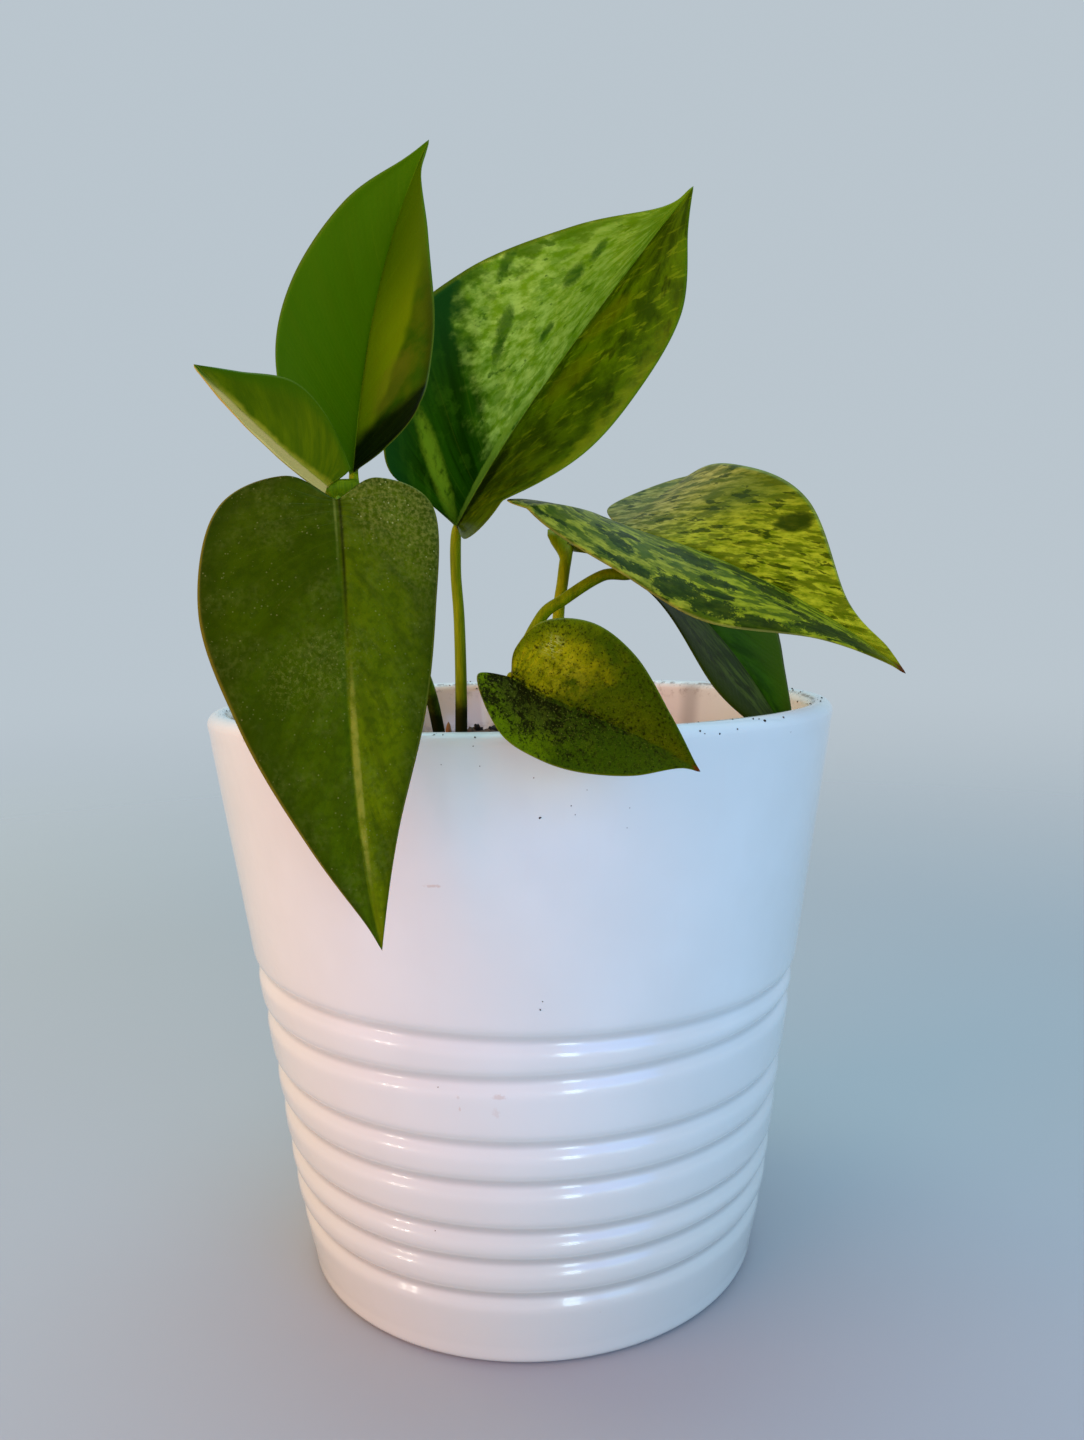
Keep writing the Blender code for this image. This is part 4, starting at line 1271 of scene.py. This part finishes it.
# %% Speckled lime paint
def lime_paint(place):
    upper_half = spots(place, 6, 0.35, 0.66, 4).pick(tint(120, 116, 0), tint(168, 154, 6))
    upper_half = place.away.rise(0.5, 1.0).pick(upper_half, tint(88, 98, 0))
    lower_half = place.away.rise(0.35, 0.9).pick(tint(58, 66, 8), tint(90, 110, 0))
    ragged = place.across + (place.flat.noise(0.4, 5, 0.7) - 0.5) * 7
    colour = ragged.rise(-0.7, 0.9).pick(upper_half, lower_half)
    ahead = (place.distance + (spots(place, 5, 0.2, 0.8, 4, 20) - 0.5) * 12).rise(5, 16)
    colour = (ahead * 0.92).pick(colour, tint(45, 66, 0))
    pale_patch = place.distance.bell(7, 8) * place.across.bell(-4.5, 5)
    colour = (pale_patch * spots(place, 2, 0.4, 0.6, 3) * 0.5).pick(colour, tint(176, 160, 24))
    crowd = place.across.bell(0.6, 2.6) * place.distance.rise(30, 4) + 0.15
    crowd = crowd + place.right * place.across.bell(5, 6) * place.distance.rise(22, 4) * 0.7
    crowd = crowd * (spots(place, 2.4, 0.36, 0.62, 4, 50) * 1.1 + 0.25)
    film = (place.flat.noise(0.9, 7, 0.8) + crowd * 0.12).rise(0.5, 0.66)
    colour = (film * 0.6).pick(colour, tint(26, 32, 2))
    pepper = (place.flat.shifted(3, 8, 0).noise(1.9, 8, 0.85) + crowd * 0.12).rise(0.565, 0.59)
    colour = (pepper * 0.95).pick(colour, tint(8, 8, 0))
    fine = (place.flat.shifted(9, 4, 0).noise(3.4, 5, 0.8) + crowd * 0.06).rise(0.61, 0.65)
    colour = (fine * 0.65).pick(colour, tint(20, 22, 0))
    # Painted glints: small pale flecks, most where the specks crowd.
    glimmer = place.flat.noise(3.1, 4, 0.7).rise(0.6, 0.66) * (crowd.rise(0.1, 0.7) * 0.6 + 0.3)
    colour = (glimmer * 0.6).pick(colour, tint(150, 146, 60))
    scratch_place = place.distance.bell(3.4, 2.6) * place.across.bell(-7.6, 2.6)
    scratch = place.flat.stretched(1, 4, 1).noise(1.2, 4).rise(0.5, 0.58) * scratch_place
    return (scratch * 0.8).pick(colour, tint(196, 186, 90))


cut_leaf(
    BLADES["small"], 6,
    waxy("speckled_lime_leaf", lime_paint, tint(84, 88, 0), tint(110, 120, 24), tint(130, 136, 30),
         gloss=0.42, dust=0.0, tip=tint(86, 40, 10), rib=0.06),
    "leaf_lime",
)

# %% [markdown]
# The drooping leaf hangs in the shade of the arching one. It is deep green and turns yellow only
# at its base, and its near half is streaked lengthwise with olive and near black.

# %% Deep green paint
def deep_paint(place):
    left = streaks(place, 4, 14, 0.35, 0.65).pick(tint(22, 60, 0), tint(44, 86, 0))
    left = place.away.rise(0.4, 1.0).pick(left, tint(54, 80, 0))
    right = lengthwise(place, 2.2, 9, 0.42, 0.62, 5).pick(tint(24, 44, 0), tint(66, 82, 20))
    right = (lengthwise(place, 1.6, 5, 0.54, 0.64, 4, 3) * 0.85).pick(right, tint(18, 26, 0))
    right = place.away.rise(0.7, 0.95).pick(right, tint(40, 56, 4))
    colour = place.right.pick(left, right)
    return place.distance.rise(3, -3).pick(colour, tint(134, 132, 6))


cut_leaf(
    BLADES["drooping"], 7,
    waxy("deep_green_leaf", deep_paint, tint(70, 88, 20), tint(76, 96, 20), tint(80, 90, 30),
         dust=0.05, rib=0.2),
    "leaf_dark",
)

# %% [markdown]
# ## Stalks
#
# A leaf stalk is round with a shallow channel along one side. It thickens into a knee just under the blade
# and runs on beneath it as the midrib, and near the soil it is stained dark. The vine that carries three of
# the leaves has a ring at each joint. A curve with a bevel would have an even round section, so the tubes are
# swept as grids instead.

# %% Stalk design values
HOLE_DEPTH = 6.0
ROOT = SOIL_TOP - HOLE_DEPTH + SOIL_GAP


@dataclass(frozen=True)
class Stalk:
    """A stem or leaf stalk: its route, its radii from first to last, and the blade it carries.

    Near the blade a thin sheath may stand out from it: fin says how far and fin_way which way.
    """

    name: str
    route: tuple
    radii: tuple
    blade: str
    yellow: float
    dark_to: float = 118.0
    fin: float = 0.0
    fin_way: tuple = (-0.8, 0.0, 0.6)


STALKS = (
    Stalk("vine_stem",
          ((-17, -15, ROOT), (-17, -15, 113), (-18.9, -24, 130.5), (-22, -36, 142), (-26, -48, 152),
           (-28, -55, 158)),
          radii=(1.3, 1.3), blade="", yellow=0.1, dark_to=128.0),
    Stalk("stalk_hanging",
          ((-27.9, -54.4, 157.4), (-28.5, -59, 161.2), (-28.8, -65, 164.6), (-28.6, -71, 166.2),
           (-28.5, -74.4, 166.3)),
          radii=(1.2, 0.4), blade="hanging", yellow=0.1),
    Stalk("stalk_upright",
          ((-26.5, -49.2, 153.1), (-27.4, -49.6, 157.6), (-28.4, -50.3, 162.6), (-29, -51.5, 168),
           (-29, -53, 171.9)),
          radii=(1.2, 0.9), blade="upright", yellow=0.4),
    Stalk("stalk_young",
          ((-27.5, -53, 156.2), (-29.6, -53.6, 158.2), (-31.3, -55.4, 161.2), (-32.2, -59, 165.5),
           (-31.9, -62, 168.6)),
          radii=(1.0, 0.8), blade="young", yellow=0.2, fin=5.7, fin_way=(0.84, 0.38, 0.38)),
    Stalk("stalk_tall",
          ((-14.5, 3, ROOT), (-14.5, 3, 113), (-14, 2, 130), (-14, 2.5, 146), (-14.5, 3.2, 157),
           (-14.2, 3.8, 166)),
          radii=(1.5, 1.2), blade="tall", yellow=0.45, dark_to=126.0),
    Stalk("stalk_arching",
          ((-1.5, -15, ROOT), (-1.5, -15, 113), (-0.6, -15, 134), (4.5, -16, 146), (9.8, -17, 150.2),
           (18, -18, 155), (24, -18, 155.3), (26.5, -15.5, 159), (23.4, -12.5, 164)),
          radii=(1.5, 1.15), blade="arching", yellow=0.4),
    Stalk("stalk_small",
          ((-0.5, -45, ROOT), (-0.5, -45, 113), (-0.5, -50, 125), (-0.5, -59, 133), (-0.5, -70, 136.5),
           (-1.4, -80.4, 137.6)),
          radii=(1.2, 0.8), blade="small", yellow=0.6),
    Stalk("stalk_drooping",
          ((8.5, -2, ROOT), (8.5, -2, 113), (8.5, -2, 135), (9.1, -1, 147.5), (10.1, -0.6, 154),
           (11, 0.8, 159.3), (12, 3.7, 162.4)),
          radii=(1.5, 1.3), blade="drooping", yellow=0.9, fin=5.5),
)

# %% Sweep a stalk
STALK_SIDES = 20
STALK_RING_STEP = 0.7
RIB_REACH = (2.0, 6.0, 12.0)
KNEE_PLACE = 0.93
KNEE_SWELL = 0.06
KNEE_LENGTH = 0.06
JOINT_RINGS = (0.66, 0.97)
JOINT_SWELL = 0.3
JOINT_LENGTH = 0.018
CHANNEL_TURN = 1.2
CHANNEL_DEPTH = 0.14
CHANNEL_BREADTH = 0.45
FIN_RISE = (4.2, 2.0)


def under_blade(stalk):
    """Where the stalk runs on under its blade: a few points just below the midrib, and radii."""
    if not stalk.blade:
        return np.zeros((0, 3)), np.zeros(0)
    spine = Spine(BLADES[stalk.blade])
    reach = np.array(RIB_REACH) * spine.length / 90
    radii = stalk.radii[1] * np.array([0.8, 0.5, 0.2])
    below = (MIDDLE_THICKNESS / 2 + radii * 0.55)[:, None]
    return spine.at(spine.line, reach) - below * spine.at(spine.up, reach), radii


def stalk_radii(stalk, share, stem_share, tail_radii):
    """The radius at each share of the route, with knees or rings."""
    radius = np.interp(share / stem_share, (0, 1), stalk.radii)
    place = share / stem_share
    if stalk.blade:
        swell = KNEE_SWELL * np.exp(-(((place - KNEE_PLACE) / KNEE_LENGTH) ** 2))
        radius = radius * (1 + swell)
        tail = np.interp(share, np.linspace(stem_share, 1, 4), (stalk.radii[1], *tail_radii))
        return np.where(share > stem_share, tail, radius)
    for ring in JOINT_RINGS:
        radius = radius * (1 + JOINT_SWELL * np.exp(-(((place - ring) / JOINT_LENGTH) ** 2)))
    return radius


def sweep(stalk, material, slot):
    """A tube along the stalk's route, with a shallow channel along one side and any sheath."""
    tail, tail_radii = under_blade(stalk)
    own = smooth_line(stalk.route)
    line = smooth_line(np.vstack([stalk.route, tail])) if stalk.blade else own
    length = np.linalg.norm(np.diff(line, axis=0), axis=1).sum()
    own_length = np.linalg.norm(np.diff(own, axis=0), axis=1).sum()
    rings = int(length / STALK_RING_STEP)
    share = np.linspace(0, 1, rings)
    centres = along(line, share)
    forward = unit(np.gradient(centres, axis=0))
    sides = [unit(np.cross(forward[0], (0.3, 1.0, 0.2)))]
    for way in forward[1:]:
        sides.append(unit(sides[-1] - (sides[-1] @ way) * way))
    sides = np.array(sides)
    others = np.cross(forward, sides)
    radius = stalk_radii(stalk, share, own_length / length, tail_radii)
    angles = np.arange(STALK_SIDES) * 2 * math.pi / STALK_SIDES
    aside = np.angle(np.exp(1j * (angles - CHANNEL_TURN)))
    channel = 1 - CHANNEL_DEPTH * np.exp(-((aside / CHANNEL_BREADTH) ** 2))
    spokes = sides[:, None] * np.cos(angles)[:, None] + others[:, None] * np.sin(angles)[:, None]
    fin_span = (own_length - FIN_RISE[0], own_length, own_length + FIN_RISE[1])
    fin = stalk.fin * np.interp(share * length, fin_span, (0, 1, 0))
    fin = fin[:, None] * np.clip(spokes @ np.array(stalk.fin_way), 0, 1) ** 8
    points = centres[:, None] + spokes * (radius[:, None] * channel + fin)[..., None]
    faces = tube_faces(rings, STALK_SIDES)
    place = np.repeat(share, STALK_SIDES)
    name = stalk.name.replace("stalk_", "") + "_stalk" if stalk.blade else "vine"
    return add_piece(name, points.reshape(-1, 3), faces, material, slot, [stalk.name], stem_place=place)


# %% [markdown]
# Stalks are yellow-green, with darker stretches along their length. Fine lengthwise fibres show
# as a slight ribbing. Close to the soil they are stained nearly black.

# %% Stalk finish
def stem_skin(name, yellow, dark_to):
    material, start = new_finish(name, IOR=1.45, Specular_IOR_Level=0.15, Specular_Tint=(1.0, 1.0, 0.3, 1.0))
    place = stored(start, "stem_place")
    millimetres = place_in_mm(start)
    fibres = millimetres.stretched(2.4, 2.4, 0.16).noise(1.0, 4, 0.6)
    green, gold = tint(84, 114, 0), tint(158, 168, 0)
    fresh = (fibres.rise(0.3, 0.7) * 0.4 + yellow * 0.8 - 0.15).pick(green, gold)
    fresh = (place.rise(0.75, 0.95) * 0.5).pick(fresh, tint(112, 106, 0))
    height = millimetres.part(2) + (millimetres.noise(0.25, 3) - 0.5) * 9
    stain = height.rise(dark_to + 6, dark_to - 2)
    dark_side = millimetres.stretched(0.5, 0.5, 0.03).noise(1.0, 2).rise(0.5, 0.68) * 0.3
    fresh = dark_side.pick(fresh, tint(54, 66, 2))
    colour = (stain * 0.95).pick(fresh, tint(14, 12, 4))
    roughness = 0.4 + fibres * 0.15 + stain * 0.3
    return coat(material, colour, roughness, fibres, bump_distance=0.15 * MM, bump_strength=0.6)


for stalk in STALKS:
    finish_name = "stem_skin_" + (stalk.blade or "vine")
    slot = "stalk_yellow" if stalk.yellow > 0.5 else "stalk_olive"
    sweep(stalk, stem_skin(finish_name, stalk.yellow, stalk.dark_to), slot)

# %% [markdown]
# ## Floor and light
#
# The plant stands on a plain pale floor. Cool daylight comes from a window at the right, and a
# warm lamp glows at the left, which is why the same white glaze looks blue on one side and pink
# on the other. Area lights give soft shadows, and small bright ones leave the short highlights
# on every band of the pot.

# %% Floor and room
FLOOR_REACH = 2.4
FLOOR_FADE = (1.9, 0.45)
FLOOR_DROP = 0.0002
ROOM_COLOUR = (0.49, 0.56, 0.615, 1.0)


def pale_floor():
    """A wide floor that fades into the pale room. It is stage, because it isn't part of the plant."""
    material, start = new_finish("pale_floor", IOR=1.4)
    place = start.node("ShaderNodeNewGeometry", output="Position")
    cloud = place.noise(3.0, 3)
    colour = cloud.pick(tint(176, 178, 182), tint(182, 184, 188))
    coat(material, colour, 0.6 + cloud * 0.1)
    nearness = 1.0 / (place.length() + 0.25)
    fade = nearness.rise(FLOOR_FADE[1], FLOOR_FADE[0])
    material.node_tree.links.new(fade.socket, material.node_tree.nodes["Principled BSDF"].inputs["Alpha"])
    turns_round = np.linspace(0, 2 * math.pi, 64, endpoint=False)
    corners = np.stack([np.cos(turns_round), np.sin(turns_round), 0 * turns_round], axis=-1) * FLOOR_REACH
    mesh = bpy.data.meshes.new("floor")
    mesh.from_pydata(corners.tolist(), [], [list(range(len(corners)))])
    mesh.materials.append(material)
    floor = bpy.data.objects.new("floor", mesh)
    floor.location.z = -FLOOR_DROP
    bpy.context.scene.collection.objects.link(floor)
    floor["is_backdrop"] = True


def pale_room(colour):
    """An even pale light from all round."""
    world = bpy.data.worlds.new("pale_room")
    bpy.context.scene.world = world
    world.use_nodes = True
    background = world.node_tree.nodes["Background"]
    background.inputs["Color"].default_value = colour
    background.inputs["Strength"].default_value = 1.0


pale_floor()
pale_room(ROOM_COLOUR)


# %% Lamps
@dataclass(frozen=True)
class Lamp:
    """A rectangular lamp: its turn from the front to the right, its lift, and its distance in metres.

    A lamp that doesn't shine lights the plant without a reflection of its own.
    """

    turn: float
    lift: float
    away: float
    size: tuple
    power: float
    colour: tuple
    shines: bool = True


LAMPS = {
    "window": Lamp(34, 20, 1.0, (0.6, 0.45), 2.5, (0.01, 0.28, 1.0)),
    "window_pane": Lamp(15.5, 3, 1.0, (0.12, 0.4), 1.6, (0.66, 0.88, 1.0)),
    "far_pane": Lamp(36, 3, 1.0, (0.24, 0.3), 0.42, (0.4, 0.76, 1.0)),
    "front_fill": Lamp(-22, 14, 1.0, (0.7, 0.4), 0.3, (1.0, 0.9, 1.0), False),
    "warm_lamp": Lamp(-58, 16, 1.0, (0.9, 0.8), 6.2, (1.0, 0.24, 0.02), False),
    "lamp_tube_near": Lamp(-52.6, 2, 1.0, (0.03, 0.2), 0.36, (1.0, 0.93, 0.8)),
    "lamp_tube_far": Lamp(-57.6, 2, 1.0, (0.03, 0.2), 0.3, (1.0, 0.93, 0.8)),
    "rear_lamp": Lamp(-115, 15, 1.0, (0.5, 0.5), 2.2, (0.95, 0.95, 0.35), False),
    "ceiling": Lamp(180, 75, 1.1, (0.9, 0.9), 5.7, (0.28, 0.74, 0.92)),
}
AIM = Vector((0.0, 0.0, 0.1))


def hang_lamp(name, lamp):
    """A rectangular lamp that faces the plant."""
    data = bpy.data.lights.new(name, "AREA")
    data.shape = "RECTANGLE"
    data.size, data.size_y = lamp.size
    data.energy = lamp.power
    data.color = lamp.colour
    turn, lift = math.radians(lamp.turn), math.radians(lamp.lift)
    level = math.cos(lift)
    way = Vector((math.sin(turn) * level, -math.cos(turn) * level, math.sin(lift)))
    hung = bpy.data.objects.new(name, data)
    hung.location = AIM + way * lamp.away
    hung.rotation_euler = (-way).to_track_quat("-Z", "Y").to_euler()
    hung.visible_glossy = lamp.shines
    bpy.context.scene.collection.objects.link(hung)


for name, lamp in LAMPS.items():
    hang_lamp(name, lamp)
bpy.context.scene.view_settings.view_transform = "Standard"
print("lamps:", ", ".join(LAMPS))

# %% [markdown]
# ## Close
#
# The dressed plant has to keep the size of its solids, so both boxes are written down.

# %% Sizes and finish
DRESSED_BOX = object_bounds()
for name, box in (("solids", CAD_BOX), ("dressed", DRESSED_BOX)):
    print(name, [round(high - low, 4) for low, high in zip(*box)])
